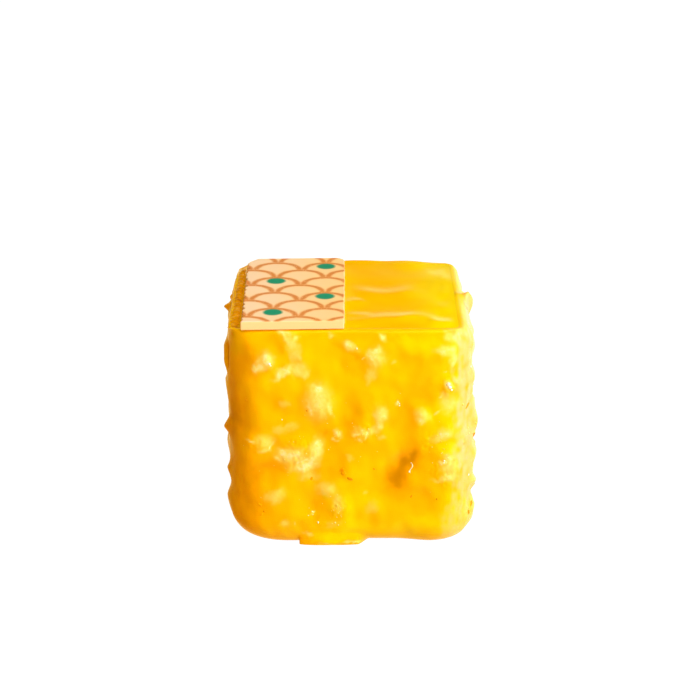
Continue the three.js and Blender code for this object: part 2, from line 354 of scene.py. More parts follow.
# Chosen one by one; other programs then moved those on the front and lowered the raised ones all at once
placedNuts = [  # along, up, half length, half width, tilt in degrees, how proud
    (-10.9, 26.4, 1.6, 1.3, 60, 0.55),
    (-8.0, 28.5, 2.5, 1.2, -62, 0.4),
    (-8.2, 24.9, 2.5, 1.4, 26, 0.46),
    (0.0, 28.7, 1.3, 0.8, -20, 0.29),
    (4.0, 29.4, 0.9, 0.8, 0, 0.25),
    (3.3, 26.6, 2.7, 1.3, 66, 0.43),
    (12.7, 27.6, 1.8, 1.5, 30, 0.38),
    (13.3, 22.9, 1.3, 1.0, 80, 0.46),
    (13.2, 20.2, 2.3, 1.9, 70, 0.32),
    (-4.0, 20.8, 2.5, 1.8, 96, 0.55),
    (-8.7, 20.4, 1.3, 1.1, 10, 0.25),
    (4.0, 18.7, 2.5, 1.5, 86, 0.52),
    (9.6, 18.7, 1.4, 1.2, 100, 0.43),
    (1.9, 16.4, 1.4, 1.0, 30, 0.34),
    (-1.6, 16.1, 1.1, 1.0, 70, 0.26),
    (-8.3, 17.0, 2.0, 1.1, 14, 0.25),
    (-11.9, 14.7, 2.1, 1.2, -24, 0.38),
    (-6.5, 13.2, 3.4, 2.2, 12, 0.55),
    (12.4, 16.4, 1.9, 1.2, 30, 0.4),
    (13.2, 12.0, 3.4, 2.0, 92, 0.55),
    (8.9, 9.2, 2.6, 1.5, -12, 0.25),
    (0.0, 10.6, 1.1, 0.9, 20, 0.25),
    (-2.9, 8.3, 1.6, 1.3, 40, 0.43),
    (-1.5, 5.8, 2.0, 1.2, 112, 0.25),
    (-9.9, 7.5, 1.8, 1.4, 24, 0.34),
    (3.0, 5.8, 1.5, 1.2, 0, 0.25),
    (6.7, 11.9, 3.8, 2.0, 52, -0.8),
    (9.9, 22.8, 3.4, 2.4, -35, -0.4),
    (-10.1, 11.2, 3.4, 1.9, 0, -0.4),
    (0.0, 18.4, 2.8, 1.8, 80, -0.4),
    (7.2, 19.4, 2.6, 1.5, 85, -0.4),
    (-4.6, 6.2, 3.2, 2.0, 70, -0.45),
    (-1.2, 26.0, 2.6, 1.8, 75, -0.3),
    (-14.2, 18.5, 4.5, 2.4, 85, -0.45),
    (-18.4, 25.6, 1.9, 1.2, 84, 0.65),
    (-18.8, 21.4, 1.7, 1.1, 80, 0.5),
    (-18.2, 16.3, 1.0, 0.7, 20, 0.75),
    (-18.4, 9.7, 1.1, 0.8, -20, 0.45),
    (-18.6, 5.4, 1.5, 1.0, 60, 0.3),
    (18.3, 28.3, 1.6, 1.0, 70, 0.4),
    (18.5, 23.4, 1.2, 0.9, 20, 0.65),
    (18.4, 17.2, 2.0, 1.2, 84, 0.85),
    (18.8, 12.2, 1.6, 1.2, 70, 0.8),
    (18.3, 8.4, 1.0, 0.7, 0, 0.6),
    (18.4, 4.6, 1.4, 1.1, 30, 0.7),
    (18.8, 2.8, 2.6, 2.0, 90, 0.6),
    (31.6, 28.6, 1.8, 1.3, 84, 1),
    (-25.2, 29.2, 1.7, 1.0, 20, 1),
    (-28.6, 29.6, 1.2, 0.9, 70, 0.9),
    (-33.2, 29.1, 1.9, 1.3, -30, 1.1),
    (38.5, 28.6, 5.5, 1.7, 0, -0.9),
]
folds = [  # along, up, half length, half width, tilt, height: soft ridges and grooves in the icing
    (-17.7, 26.2, 1.9, 0.45, 88, -0.4),
    (16.2, 24.0, 4.0, 0.6, 88, 0.2),
    (17.6, 20.5, 5.0, 0.7, 92, 0.25),
    (17.4, 11.0, 4.5, 0.8, 84, 0.2),
    (15.9, 6.0, 3.0, 0.7, 95, 0.15),
]
crumbs = [  # along, up, radius, how much the nuts' own grain shows through
    (-6.8, 13.3, 3.0, 1.0),
    (1.6, 16.3, 1.6, 1.0),
    (-1.6, 16.1, 1.0, 0.8),
    (-1.5, 5.8, 1.6, 0.7),
    (-4.1, 20.6, 2.2, 0.45),
    (12.7, 11.0, 2.6, 0.7),
    (10.7, 15.2, 1.6, 0.8),
    (12.9, 22.8, 1.6, 0.7),
    (-12.4, 14.9, 1.6, 0.7),
    (3.0, 26.9, 1.8, 0.4),
    (-7.6, 25.2, 2.0, 0.4),
    (17.5, 15.0, 3.5, 0.7),
    (17.5, 24.0, 3.0, 0.6),
    (16.5, 5.0, 3.0, 0.6),
]
# Most places in the next list, and many in the one after it, were picked and turned into mm by another
# program
paleAndSheenPatches = [  # along, up, half length, half width, tilt, strength: where nuts shine pale through the icing, with painted sheen on them
    (-10.8, 26.9, 0.7, 1.1, 30, 0.95),
    (-12.4, 25.5, 0.6, 0.4, -20, 1.0),
    (-11.6, 26.1, 1.1, 0.7, 45, 0.8),
    (-8.5, 30.1, 0.9, 0.3, -65, 0.8),
    (-7.6, 29.2, 1.3, 0.7, -65, 0.55),
    (-6.8, 29.7, 0.3, 0.3, 0, 0.6),
    (-7.1, 27.3, 0.7, 0.7, 0, 0.45),
    (-8.8, 25.1, 1.4, 0.5, 38, 0.8),
    (-6.8, 25.4, 1.0, 0.9, 0, 0.55),
    (-5.9, 24.7, 0.4, 0.6, 0, 0.45),
    (-4.2, 22.7, 0.8, 0.7, 0, 0.95),
    (-4.2, 20.9, 1.5, 2.1, 0, 0.6),
    (-5.2, 19.9, 0.9, 0.3, -70, 0.75),
    (-2.6, 19.9, 1.0, 0.3, -75, 0.6),
    (-2.2, 30.1, 0.4, 0.3, 0, 0.45),
    (0.0, 28.7, 0.9, 0.4, -25, 0.95),
    (-8.6, 20.6, 0.6, 0.5, 0, 0.25),
    (-9.4, 16.9, 0.8, 0.6, 0, 0.3),
    (-8.1, 17.4, 1.2, 0.4, 10, 0.25),
    (-13.2, 15.3, 0.8, 0.2, -20, 0.9),
    (-11.2, 15.3, 1.1, 0.8, 0, 0.45),
    (-10.6, 14.4, 0.6, 0.2, 50, 0.8),
    (-11.4, 14.0, 0.7, 0.4, 0, 0.55),
    (-1.7, 16.5, 0.6, 0.3, -60, 0.75),
    (-1.9, 15.5, 0.3, 0.2, 0, 0.7),
    (-4.6, 13.7, 1.8, 0.8, 80, 0.65),
    (-7.8, 13.3, 1.7, 1.1, 0, 0.8),
    (-6.2, 11.7, 1.6, 0.8, 10, 0.85),
    (-5.6, 12.6, 0.9, 0.7, 0, 0.5),
    (-8.9, 13.5, 0.7, 0.3, -40, 0.85),
    (-7.3, 13.8, 0.7, 0.3, 0, 0.75),
    (-6.5, 12.3, 0.8, 0.3, 30, 0.8),
    (-9.6, 12.9, 0.6, 0.2, -45, 0.6),
    (-4.2, 15.0, 0.3, 0.6, 0, 0.7),
    (-5.5, 10.3, 1.1, 0.6, 0, 0.4),
    (-10.0, 7.4, 1.2, 0.8, 20, 0.5),
    (-3.3, 8.4, 1.0, 0.9, 0, 0.6),
    (-1.7, 6.4, 0.7, 1.2, 0, 0.45),
    (-5.1, 5.0, 0.2, 0.2, 0, 0.85),
    (-8.8, 3.4, 0.5, 0.6, 0, 0.45),
    (-7.6, 3.4, 0.2, 0.2, 0, 0.4),
    (-6.0, 1.6, 0.7, 0.3, 0, 0.55),
    (-2.4, 3.2, 1.0, 0.4, 20, 0.2),
    (4.3, 29.8, 0.5, 0.4, 0, 0.8),
    (3.5, 28.2, 0.4, 0.4, 0, 0.75),
    (2.7, 27.6, 0.5, 0.6, 0, 0.8),
    (3.4, 27.1, 1.0, 1.2, 0, 0.55),
    (2.7, 24.7, 1.0, 0.6, 75, 0.4),
    (1.8, 26.8, 0.2, 0.1, 0, 0.85),
    (5.7, 26.3, 0.4, 0.2, 0, 0.25),
    (12.4, 28.1, 1.1, 0.6, -5, 0.75),
    (13.1, 29.8, 0.6, 0.5, 0, 0.55),
    (13.4, 27.1, 1.1, 0.4, 80, 0.6),
    (13.5, 26.0, 0.9, 0.3, 88, 0.6),
    (14.5, 29.8, 0.2, 0.4, 0, 0.7),
    (12.4, 25.1, 0.2, 0.1, -30, 0.6),
    (12.9, 23.2, 0.6, 0.3, -50, 1.0),
    (12.5, 21.8, 0.6, 0.6, 0, 0.5),
    (11.9, 21.4, 0.2, 0.2, 0, 0.75),
    (13.1, 20.5, 1.1, 1.0, 0, 0.55),
    (6.2, 20.6, 0.2, 0.3, 0, 0.7),
    (4.0, 19.2, 0.8, 1.1, 0, 0.75),
    (3.7, 17.6, 0.6, 0.6, 0, 0.75),
    (3.1, 16.7, 0.6, 0.4, 0, 0.5),
    (4.2, 15.9, 0.6, 0.3, 0, 0.3),
    (1.6, 16.6, 0.9, 0.6, 0, 0.55),
    (1.6, 16.9, 0.3, 0.2, 0, 0.75),
    (0.9, 16.3, 0.3, 0.2, 0, 0.75),
    (2.3, 16.3, 0.3, 0.2, 0, 0.7),
    (1.2, 15.5, 0.3, 0.2, 0, 0.75),
    (2.0, 15.9, 0.2, 0.2, 0, 0.7),
    (9.5, 18.8, 0.8, 0.9, 0, 0.6),
    (9.3, 18.7, 0.3, 0.4, 0, 0.75),
    (9.7, 18.0, 0.2, 0.4, 0, 0.7),
    (11.4, 19.3, 0.5, 0.2, 30, 0.75),
    (12.6, 16.5, 0.9, 0.7, 0, 0.75),
    (12.0, 16.3, 0.4, 0.3, 0, 0.85),
    (11.7, 15.7, 0.9, 0.4, 10, 0.6),
    (13.3, 11.8, 1.0, 1.6, 0, 0.55),
    (13.0, 12.8, 0.7, 0.6, -40, 0.65),
    (12.8, 10.1, 0.8, 0.5, 20, 0.6),
    (12.4, 12.4, 0.3, 0.2, 0, 0.95),
    (11.5, 9.6, 0.6, 0.3, 0, 0.4),
    (2.9, 5.8, 0.7, 0.8, 0, 0.25),
    (2.1, 7.7, 0.3, 0.3, 0, 0.25),
    (0.0, 13.0, 0.4, 0.3, -40, 0.2),
    (-3.0, 0.2, 1.2, 0.2, 0, 0.6),
    (0.0, 0.4, 1.1, 0.2, 5, 0.6),
]
paintedShadingPatches = [  # the same, for painted shade, deeper and darker in colour, or painted light, brighter, where negative
    (-16.4, 18.6, 3.4, 2.2, 90, 0.95),
    (-16.6, 23.0, 1.6, 2.0, 0, 0.5),
    (-17.5, 14.0, 4.0, 1.6, 90, 0.6),
    (-16.4, 8.4, 2.6, 2.4, 0, 0.3),
    (-13.2, 10.0, 2.6, 2.6, 0, 0.95),
    (-15.4, 27.8, 1.8, 2.0, 0, -0.4),
    (-18.0, 5.0, 3.0, 1.6, 90, 0.3),
    (-13.8, 5.0, 2.4, 2.4, 0, 0.8),
    (-14.8, 2.6, 3.0, 1.6, 0, 0.6),
    (-17.7, 26.2, 1.7, 0.5, 88, 1.1),
    (-10.1, 30.0, 0.8, 0.7, 0, 0.4),
    (-13.0, 25.0, 1.2, 0.6, 0, 0.4),
    (-6.2, 22.2, 1.2, 0.6, 90, 0.4),
    (-3.3, 16.5, 0.7, 0.7, 0, 0.5),
    (-0.2, 17.0, 1.3, 1.9, 0, 0.85),
    (-3.6, 16.4, 0.8, 1.0, 0, 0.4),
    (-1.6, 28.8, 0.8, 0.4, -20, 0.35),
    (0.9, 27.1, 0.8, 0.5, 0, 0.45),
    (0.4, 24.8, 1.2, 0.7, 90, 0.3),
    (10.0, 22.4, 1.4, 1.1, -40, 0.4),
    (6.6, 19.3, 1.5, 0.8, 90, 0.65),
    (8.3, 14.8, 2.6, 1.8, 60, 0.6),
    (7.3, 11.8, 1.2, 1.0, 45, 0.3),
    (6.1, 10.2, 2.0, 1.7, 0, 1.15),
    (8.5, 13.1, 1.5, 0.9, 62, 0.75),
    (6.5, 8.7, 1.5, 1.1, 0, 0.3),
    (11.8, 9.4, 1.6, 3.4, 0, -0.35),
    (0.5, 2.4, 11.0, 1.3, 0, -0.5),
    (-10.7, 12.1, 1.4, 0.8, 0, 0.5),
    (-4.8, 6.0, 1.2, 0.7, 90, 0.45),
    (-4.4, 4.1, 0.4, 0.3, 0, 0.6),
    (-1.0, 10.5, 0.4, 0.3, 0, 0.6),
    (7.6, 9.0, 1.8, 1.1, 0, 0.35),
    (11.1, 6.9, 0.6, 0.3, 0, 0.25),
    (-5.6, 18.8, 1.8, 1.2, 0, -0.3),
    (-11.2, 16.2, 2.8, 1.4, 0, -0.5),
    (-8.2, 27.6, 1.0, 1.8, 0, -0.5),
    (-10.8, 23.8, 1.8, 1.8, 0, -0.55),
    (2.9, 18.8, 1.4, 1.7, 0, -0.65),
    (9.4, 18.3, 1.4, 1.4, 0, -0.4),
    (-7.1, 0.9, 0.4, 0.3, 0, 0.8),
    (-7.0, 9.6, 2.4, 1.2, 0, -0.25),
    (-3.2, 12.2, 1.4, 1.2, 0, -0.3),
    (-3.2, 7.6, 1.0, 1.4, 0, -0.45),
    (13.0, 14.2, 1.2, 0.9, 0, -0.9),
    (10.2, 28.2, 2.2, 1.6, 0, -0.5),
    (7.4, 28.6, 2.2, 1.9, 0, -0.6),
    (-0.7, 6.0, 3.2, 2.2, 0, -0.6),
    (0.2, 3.4, 1.4, 0.9, 0, -0.4),
    (12.3, 24.3, 1.9, 4.0, 0, -0.7),
    (11.6, 17.4, 2.4, 3.4, 0, -0.75),
    (15.6, 5.0, 3.0, 3.6, 0, -0.8),
    (0.8, 10.1, 1.9, 1.4, 0, -0.35),
    (10.6, 16.1, 1.0, 0.8, 0, -0.5),
    (-1.3, 21.2, 1.1, 1.9, 0, -0.5),
    (-5.2, 27.5, 1.1, 1.6, 0, -0.4),
    (-12.4, 30.9, 1.4, 0.7, 0, -0.1),
    (-6.6, 15.5, 2.5, 1.1, 0, -0.3),
    (9.4, 3.6, 3.2, 1.4, 0, -0.5),
    (-2.7, 1.0, 2.7, 0.8, 0, -0.7),
    (5.9, 24.0, 1.6, 1.2, 0, -0.3),
]
spikes = [  # along, up, radius, height: pointed bits that show against the background
    (-28.2, 29.3, 0.45, 0.9),
    (-31.0, 29.8, 0.6, 0.45),
    (-19.5, 27.2, 1.3, 0.45),
    (-19.3, 25.0, 1.3, 0.4),
    (-20.0, 22.2, 1.0, 0.4),
    (-18.7, 15.8, 1.0, 0.6),
    (-18.6, 10.0, 0.8, 0.35),
    (-18.6, 6.0, 1.2, 0.25),
    (18.6, 19.9, 0.8, 0.35),
    (18.6, 9.8, 1.6, 0.45),
    (18.5, 7.4, 0.6, 0.6),
    (18.7, 13.6, 0.45, 0.3),
]
ears = [  # along, up, half length, half height, how far it stands up: flakes of nut at the rim
    (30.2, 29.3, 1.1, 0.9, 1.5),
    (31.4, 28.3, 1.3, 1.2, 0.6),
    (-25.4, 29.2, 0.5, 0.7, 0.6),
    (-27.4, 29.4, 0.45, 0.7, 0.9),
    (-31.5, 29.4, 0.6, 0.8, 0.5),
    (-35.0, 29.3, 0.8, 0.8, 0.4),
]
coating = {  # how the icing's colours, its painted sheen and its painted shade lie
    "tipHeight": (0.2, 0.8),  # nuts this high start to show pale with painted sheen, and do fully
    "sideTips": 0.9,
    "backTips": 0.35,
    "paleFlatness": 1.45,  # 1 is a soft patch, more is a flatter one
    "shadingFlatness": 1.0,
    "edgeDepth": 0.3,
    "stripEdge": (13.3, 15.2),  # where the strip of painted sheen on the right starts and is full
    "stripFoot": 1.6,  # how much further left it starts at the base
    "stripEnd": 22,
    "stripRimEnd": 18,  # how much further it goes near the rim, on to the back
    "stripFade": 16,
    "streakLength": (1.1, 1.6),
    "streakStretch": 0.3,
    "strayLength": 5.0,
}
wallTop = cakeTop - cake["shoulder"]
girth = 4 * sideRunOf(*cake["wall"][:2])


def makeNut(row, draw):
    sides = []
    for i in range(nuts["sides"]):
        stray = draw(-nuts["turn"] / 2, nuts["turn"] / 2)
        angle = (i + stray) / nuts["sides"] * 2 * math.pi
        sides.append((math.cos(angle), math.sin(angle), draw(*nuts["reach"])))
    return (*row, sides)


def makeNuts():
    draw = drawFrom(nuts["seed"])
    made = [makeNut(row, draw) for row in placedNuts]
    span = girth - 2 * nuts["placedHalf"]
    height = cakeTop - nuts["bareTop"] - cake["baseRound"]
    columns = round(span / nuts["pitch"])
    rows = round(height / nuts["pitch"])
    for column in range(columns):
        for row in range(rows):
            stagger = nuts["stagger"] if column % 2 else -nuts["stagger"]
            across = column + 0.5 + draw(-nuts["strayAlong"] / 2, nuts["strayAlong"] / 2)
            above = row + 0.5 + stagger + draw(-nuts["strayUp"] / 2, nuts["strayUp"] / 2)
            place = nuts["placedHalf"] + across / columns * span, cake["baseRound"] + above / rows * height
            shape = draw(*nuts["halfLength"]), draw(*nuts["halfWidth"]), draw(0, 180), draw(*nuts["proud"])
            nut = makeNut((*place, *shape), draw)
            if draw(0, 1) > nuts["bareShare"]:
                made.append(nut)
    return made


def nearestTurn(along):  # the same place counted from the front's middle, half the girth at most
    return np.mod(along + girth / 2, girth) - girth / 2


def within(along, up, middle, height, tilt=0):  # offsets from a place on the side, turned by the tilt
    across = nearestTurn(along - middle)
    above = up - height
    cos, sin = math.cos(math.radians(tilt)), math.sin(math.radians(tilt))
    return across * cos + above * sin, above * cos - across * sin


def liftOf(nut, along, up, lean):
    middle, height, halfLength, halfWidth, tilt, proud, sides = nut
    u, v = within(along, up, middle, height, tilt)
    u, v = u / halfLength, v / halfWidth
    near = np.hypot(u, v) <= nuts["end"]
    u, v = u[near], v[near]
    total = sum(np.maximum(0, (x * u + y * v) / reach) ** nuts["sharpness"] for x, y, reach in sides)
    shoulder = nuts["hollowShoulder"] if proud < 0 else nuts["shoulder"]
    lift = proud * np.exp(-(total ** (shoulder / nuts["sharpness"])))
    lift *= 1 + lean[0] * np.clip(u, -1, 1) + lean[1] * np.clip(v, -1, 1)
    return near, lift


def reliefOf(along, up):  # how far the icing stands off the wall, and how much of that is nut
    warped = along + cake["warp"] * waves(along, up, cake["warpLength"], girth, seed=11)
    warpedUp = up + cake["warp"] * waves(along, up, cake["warpLength"], girth, seed=12)
    raised, sunk = np.zeros(along.shape), np.zeros(along.shape)
    draw = drawFrom(nuts["leanSeed"])
    for nut in makeNuts():
        lean = draw(-nuts["lean"], nuts["lean"]), draw(-nuts["lean"], nuts["lean"])
        near, lift = liftOf(nut, warped, warpedUp, lean)
        raised[near] += np.maximum(0, lift) ** nuts["fuse"]
        sunk[near] += np.minimum(0, lift)
    raised = raised ** (1 / nuts["fuse"])
    for middle, height, halfLength, halfWidth, tilt, proud in folds:
        u, v = within(along, up, middle, height, tilt)
        sunk += proud * np.exp(-(u / halfLength) ** 4 - (v / halfWidth) ** 2)
    grain = np.clip(raised / cake["plainHeight"], 0, 1) * cake["plainGrain"]
    for middle, height, radius, strength in crumbs:
        u, v = within(warped, warpedUp, middle, height)
        grain = np.maximum(grain, strength * (1 - smooth(np.hypot(u, v), 0.6 * radius, radius)))
    atRim = smooth(up, cakeTop - nuts["rimFade"], cakeTop)
    fade = smooth(up, 0, cake["baseRound"]) * lerp(1, nuts["rimLift"], atRim)
    uneven = cake["unevenness"] * waves(along, up, cake["unevenLength"], girth, seed=3)
    uneven += cake["ripple"] * waves(along, up, cake["rippleLength"], girth, seed=4)
    wrinkle = waves(along, up, cake["wrinkleLength"], girth, seed=6, count=cake["wrinkleWaves"])
    wrinkle = 0.5 - np.abs(wrinkle) * cake["wrinkleSteepness"]
    fineWrinkle = waves(along, up, cake["fineLength"], girth, seed=7, count=cake["wrinkleWaves"])
    uneven += grain * (cake["wrinkle"] * wrinkle + cake["fineWrinkle"] * fineWrinkle)
    calm = smooth(up, 0, cake["calm"]) * smooth(cakeTop - up, 0, cake["calm"])
    wrapped = nearestTurn(along)
    flat = band(wrapped, *zones["right"]) * smooth(up, cakeTop - 0.8, cakeTop)
    fade = fade * (1 - flat)  # on the right the rim meets the glaze flat
    onLeft = band(wrapped, *zones["left"])
    onFront = 1 - smooth(abs(wrapped), *zones["front"])
    highRight = band(wrapped, *zones["nearRight"]) * smooth(up, *zones["high"])
    lowered = np.maximum(onLeft, zones["highShare"] * highRight)
    nutFade = fade * lerp(1, cake["sideRelief"], lowered)
    nutFade = nutFade * lerp(1, cake["frontRelief"], onFront)
    for middle, height, radius, proud in spikes:
        u, v = within(along, up, middle, height)
        sunk += proud * np.exp(-(np.hypot(u, v) / radius) ** 1.4)
    return raised * nutFade + sunk * fade + uneven * calm, raised * nutFade, grain


def droopAt(x, y):  # how far the top falls away towards its back corners
    right = droop["right"] * smooth(x, *droop["rightAcross"]) * smooth(y, *droop["rightBack"])
    left = droop["left"] * smooth(-x, *droop["leftAcross"]) * smooth(y, *droop["leftBack"])
    return right + left - droop["wave"] * np.sin(x * droop["pace"]) * smooth(y, *droop["waveBack"])


def patchesOf(rows, along, up, flatness):  # each soft, uneven patch of a list in turn
    strayed, strayedUp = along, up
    for i, (stray, length) in enumerate(cake["stray"]):
        strayed = strayed + stray * waves(along, up, length, girth, seed=51 + i)
        strayedUp = strayedUp + stray * waves(along, up, length, girth, seed=53 + i)
    for middle, height, halfLength, halfWidth, tilt, strength in rows:
        u, v = within(strayed, strayedUp, middle, height, tilt)
        yield strength * np.exp(-((u / halfLength) ** 2 + (v / halfWidth) ** 2) ** flatness)


def topOutline(share, outside):  # a line that far outside the glaze's edge
    return outlineAt(share, topHalf + outside, cake["glazeCorner"] + outside, topAcross)[:2]


def footFill(along, up, across):  # how much of the way to the wall the foot fills
    wrapped = nearestTurn(along)
    leftEnd, leftIn = foot["left"]
    rightIn, rightEnd = foot["right"]
    flare = foot["flare"] * up
    fromLeft = smooth(wrapped, leftEnd - flare, leftIn + flare)
    fromRight = 1 - smooth(wrapped, rightIn - flare, rightEnd + flare)
    middle, half = (leftEnd + rightEnd) / 2, (rightEnd - leftEnd) / 2
    toEnd = np.clip(abs(wrapped - middle) / half, 0, 1)
    inset = foot["inset"] + foot["endInset"] * toEnd ** 3 + foot["round"] * (1 - smooth(up, 0, 0.4))
    inset = inset + foot["leftRound"] * np.exp(-np.maximum(0, wrapped - leftEnd))
    fill = fromLeft * fromRight * np.clip(1 - inset / np.maximum(across, 1e-6), 0, 1)
    return fill * (up < cake["baseRound"])


def skinOf(along, up):  # places on the icing, and its relief there
    relief, nutHeight, grain = reliefOf(along, up)
    low = np.arccos(np.clip(1 - up / cake["baseRound"], 0, 1))  # how far round each bend a place lies
    high = np.arcsin(np.clip((up - wallTop) / cake["shoulder"], 0, 1))
    outward = np.cos(high) / (cake["wall"][0] - topHalf - cake["rim"])
    upward = np.sin(high) / cake["shoulder"]
    steep = np.hypot(outward, upward)
    outward, upward = outward / steep * np.sin(low), upward / steep - np.cos(low)
    wallX, wallY, outX, outY = outlineAt(along / girth, *cake["wall"])
    baseX, baseY = outlineAt(along / girth, *cake["base"])[:2]
    baseY = baseY * cake["baseStretch"]
    baseY = baseY + cake["baseInset"] * band(baseX, *zones["inset"]) * (baseY < 0)
    rimX, rimY = topOutline(along / girth, cake["rim"])
    x = wallX + (baseX - wallX) * (1 - np.sin(low)) + (rimX - wallX) * (1 - np.cos(high))
    y = wallY + (baseY - wallY) * (1 - np.sin(low)) + (rimY - wallY) * (1 - np.cos(high))
    fill = footFill(along, up, np.hypot(x - wallX, y - wallY))
    x = lerp(x, wallX, fill) + relief * outward * outX
    y = lerp(y, wallY, fill) + relief * outward * outY
    z = np.maximum(0, up + relief * upward)
    for middle, height, halfLength, halfHeight, rise in ears:
        u, v = within(along, up, middle, height)
        z = z + rise * np.exp(-abs(u / halfLength) ** 1.5 - (v / halfHeight) ** 2)
    z = z - droopAt(x, y) * smooth(up, cakeTop - 2, cakeTop)
    return np.stack([x, y, z], -1), relief, nutHeight, grain


def icingGrid():  # places round the cake, finer on the front, and up its side, closer at both bends
    half = cake["frontHalf"]
    frontCount = round(2 * half / cake["frontStep"])
    backCount = round((girth - 2 * half) / cake["backStep"])
    ringAlong = np.concatenate([
        np.linspace(-half, half, frontCount, endpoint=False),
        np.linspace(half, girth - half, backCount, endpoint=False),
    ])
    quarter = math.pi / 2
    rowUp = np.concatenate([
        cake["baseRound"] * (1 - np.cos(np.linspace(0, quarter, cake["baseRows"], endpoint=False))),
        np.linspace(cake["baseRound"], wallTop, cake["wallRows"], endpoint=False),
        wallTop + cake["shoulder"] * np.sin(np.linspace(0, quarter, cake["shoulderRows"])),
    ])
    return ringAlong, rowUp


def lipRings(ringAlong, lift):  # the raised edge round the glaze, from the icing's last row inwards
    onRight = band(nearestTurn(ringAlong), *zones["right"])
    strength = 0.8 + 0.5 * waves(ringAlong, 0 * ringAlong, cake["lipLength"], girth, seed=9)
    strength = strength * (1 - 0.8 * onRight)
    rings = []
    for outside, rise in cake["lip"]:
        keep = max(0, outside) / cake["rim"]
        drawn = outside if outside > 0 else outside * (1 - 0.75 * onRight)
        x, y = topOutline(ringAlong / girth, drawn)
        z = cakeTop + rise * cake["bead"] * strength + (lift + droopAt(x, y)) * keep
        rings.append(np.stack([x, y, z - droopAt(x, y)], 1))
    return rings


def sheenStripOf(along, up):  # painted sheen: a pale, streaky strip that runs on over the right side, where the light falls
    streakLength, broadLength = coating["streakLength"]
    streaks = waves(along, up * coating["streakStretch"], streakLength, girth, seed=61)
    streaks = streaks + 0.6 * waves(along, up, broadLength, girth, seed=62)
    wrapped = nearestTurn(along)
    fromStrip = wrapped + coating["stripFoot"] * (1 - smooth(up, 3, 9))
    stripEnd = coating["stripEnd"] + coating["stripRimEnd"] * smooth(up, 23, 27)
    fading = wrapped + 2.5 * waves(along, up, coating["strayLength"], girth, seed=63) + 1.5 * streaks
    cream = smooth(fromStrip + 0.5 * streaks, *coating["stripEdge"])
    cream = cream * (1 - smooth(fading, stripEnd, stripEnd + coating["stripFade"]))
    return cream * (0.8 + 0.4 * streaks) * lerp(0.5, 1, smooth(up, 5, 16))


def icingColours(along, up, relief, nutHeight):  # at each place: pale nut with painted sheen, a strip of painted sheen, and painted shade, painted light where negative
    wrapped = nearestTurn(along)
    aside = smooth(abs(wrapped), 16, 18)  # the lists only cover the front
    # pale nut with painted sheen, on the faces of nuts turned to the light
    paleTipsAndSheen = smooth(nutHeight, *coating["tipHeight"]) * turnedToLight(relief, along[0], up[:, 0]) * aside
    paleTipsAndSheen = paleTipsAndSheen * lerp(coating["sideTips"], coating["backTips"], smooth(abs(wrapped), 36, 46))
    for patch in patchesOf(paleAndSheenPatches, along, up, coating["paleFlatness"]):
        paleTipsAndSheen = 1 - (1 - paleTipsAndSheen) * (1 - patch)
    # painted shade: darker where a place lies below the icing round it and in the listed patches, painted
    # light where these are negative
    paintedShading = np.maximum(0, hollowOf(along, up, relief)) * smooth(up, 1, 5) * lerp(0.4, 1, aside)
    for patch in patchesOf(paintedShadingPatches, along, up, coating["shadingFlatness"]):
        paintedShading = paintedShading + patch
    paintedShading = paintedShading + coating["edgeDepth"] * band(wrapped, *zones["edge"])
    onRight = band(wrapped, *zones["right"])
    atGlaze = onRight * smooth(up, cakeTop - 1, cakeTop - 0.3)  # as bright there as the glaze beside it
    # cream is the strip of painted sheen
    cream = np.clip(sheenStripOf(along, up) * (1 - 0.7 * atGlaze), 0, 1)
    paintedShading = paintedShading - 0.8 * atGlaze
    cream[-1] *= 1 - onRight[-1]
    paleTipsAndSheen[-1] *= 1 - onRight[-1]
    return {"paleTipsAndSheen": paleTipsAndSheen, "cream": cream, "paintedShading": np.clip(paintedShading, -1, 1.5)}


def makeIcing(material):
    ringAlong, rowUp = icingGrid()
    around = ringAlong.size
    along, up = np.meshgrid(ringAlong, rowUp)
    skin, relief, nutHeight, grain = skinOf(along, up)
    rings = list(skin) + lipRings(ringAlong, skin[-1, :, 2] - cakeTop)
    lipEnd = len(rings)
    floor = glazeLow[2] - cake["underGlaze"]
    lastX, lastY, _ = rings[-1].T
    rings.append(rings[-1])  # again, so that the wall below it doesn't round the lip's shading
    rings.append(np.stack([lastX, lastY, np.full(around, floor)], 1))
    points = np.vstack(rings + [[(0, 0, 0), (topAcross, 0, floor)]])
    faces = ringFaces(len(rings), around, len(points) - 2, len(points) - 1)
    faces = faces[:(lipEnd - 1) * around] + faces[lipEnd * around:]
    fields = {**icingColours(along, up, relief, nutHeight), "grain": grain}
    added = len(rings) - len(skin)  # the rings of the lip take the icing's last row's values
    fields = {name: np.concatenate([field.ravel(), np.tile(field[-1], added), [0, 0]])
              for name, field in fields.items()}
    piece = newPiece("nut_icing", points, faces, material, flatFrom=(lipEnd - 1) * around, fields=fields)
    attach(piece, "root")
    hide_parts("coated_cake")


def turnedToLight(relief, along, up):  # 1 on faces of nuts turned right or up, 0 on those turned away
    slopeUp, slopeAlong = np.gradient(relief, up, along)
    return smooth(-(0.8 * slopeAlong + 0.5 * slopeUp), -0.3, 0.12)


def hollowOf(along, up, relief):  # how far a place lies below the icing round it
    step = 0.5
    columns, rows = round(girth / step), round(cakeTop / step)
    coarse = reliefOf(*np.meshgrid(np.arange(columns) / columns * girth, np.linspace(0, cakeTop, rows)))[0]
    soft = blurred(coarse, 40)
    at = np.mod(along, girth) / girth * columns
    row = np.clip(up / cakeTop * (rows - 1), 0, rows - 1.001)
    i, j = np.floor(row).astype(int), np.floor(at).astype(int) % columns
    a, b, onward = row - i, at - np.floor(at), (j + 1) % columns
    level = lerp(lerp(soft[i, j], soft[i, onward], b), lerp(soft[i + 1, j], soft[i + 1, onward], b), a)
    return np.clip((level - relief) / 0.45, -1, 1)


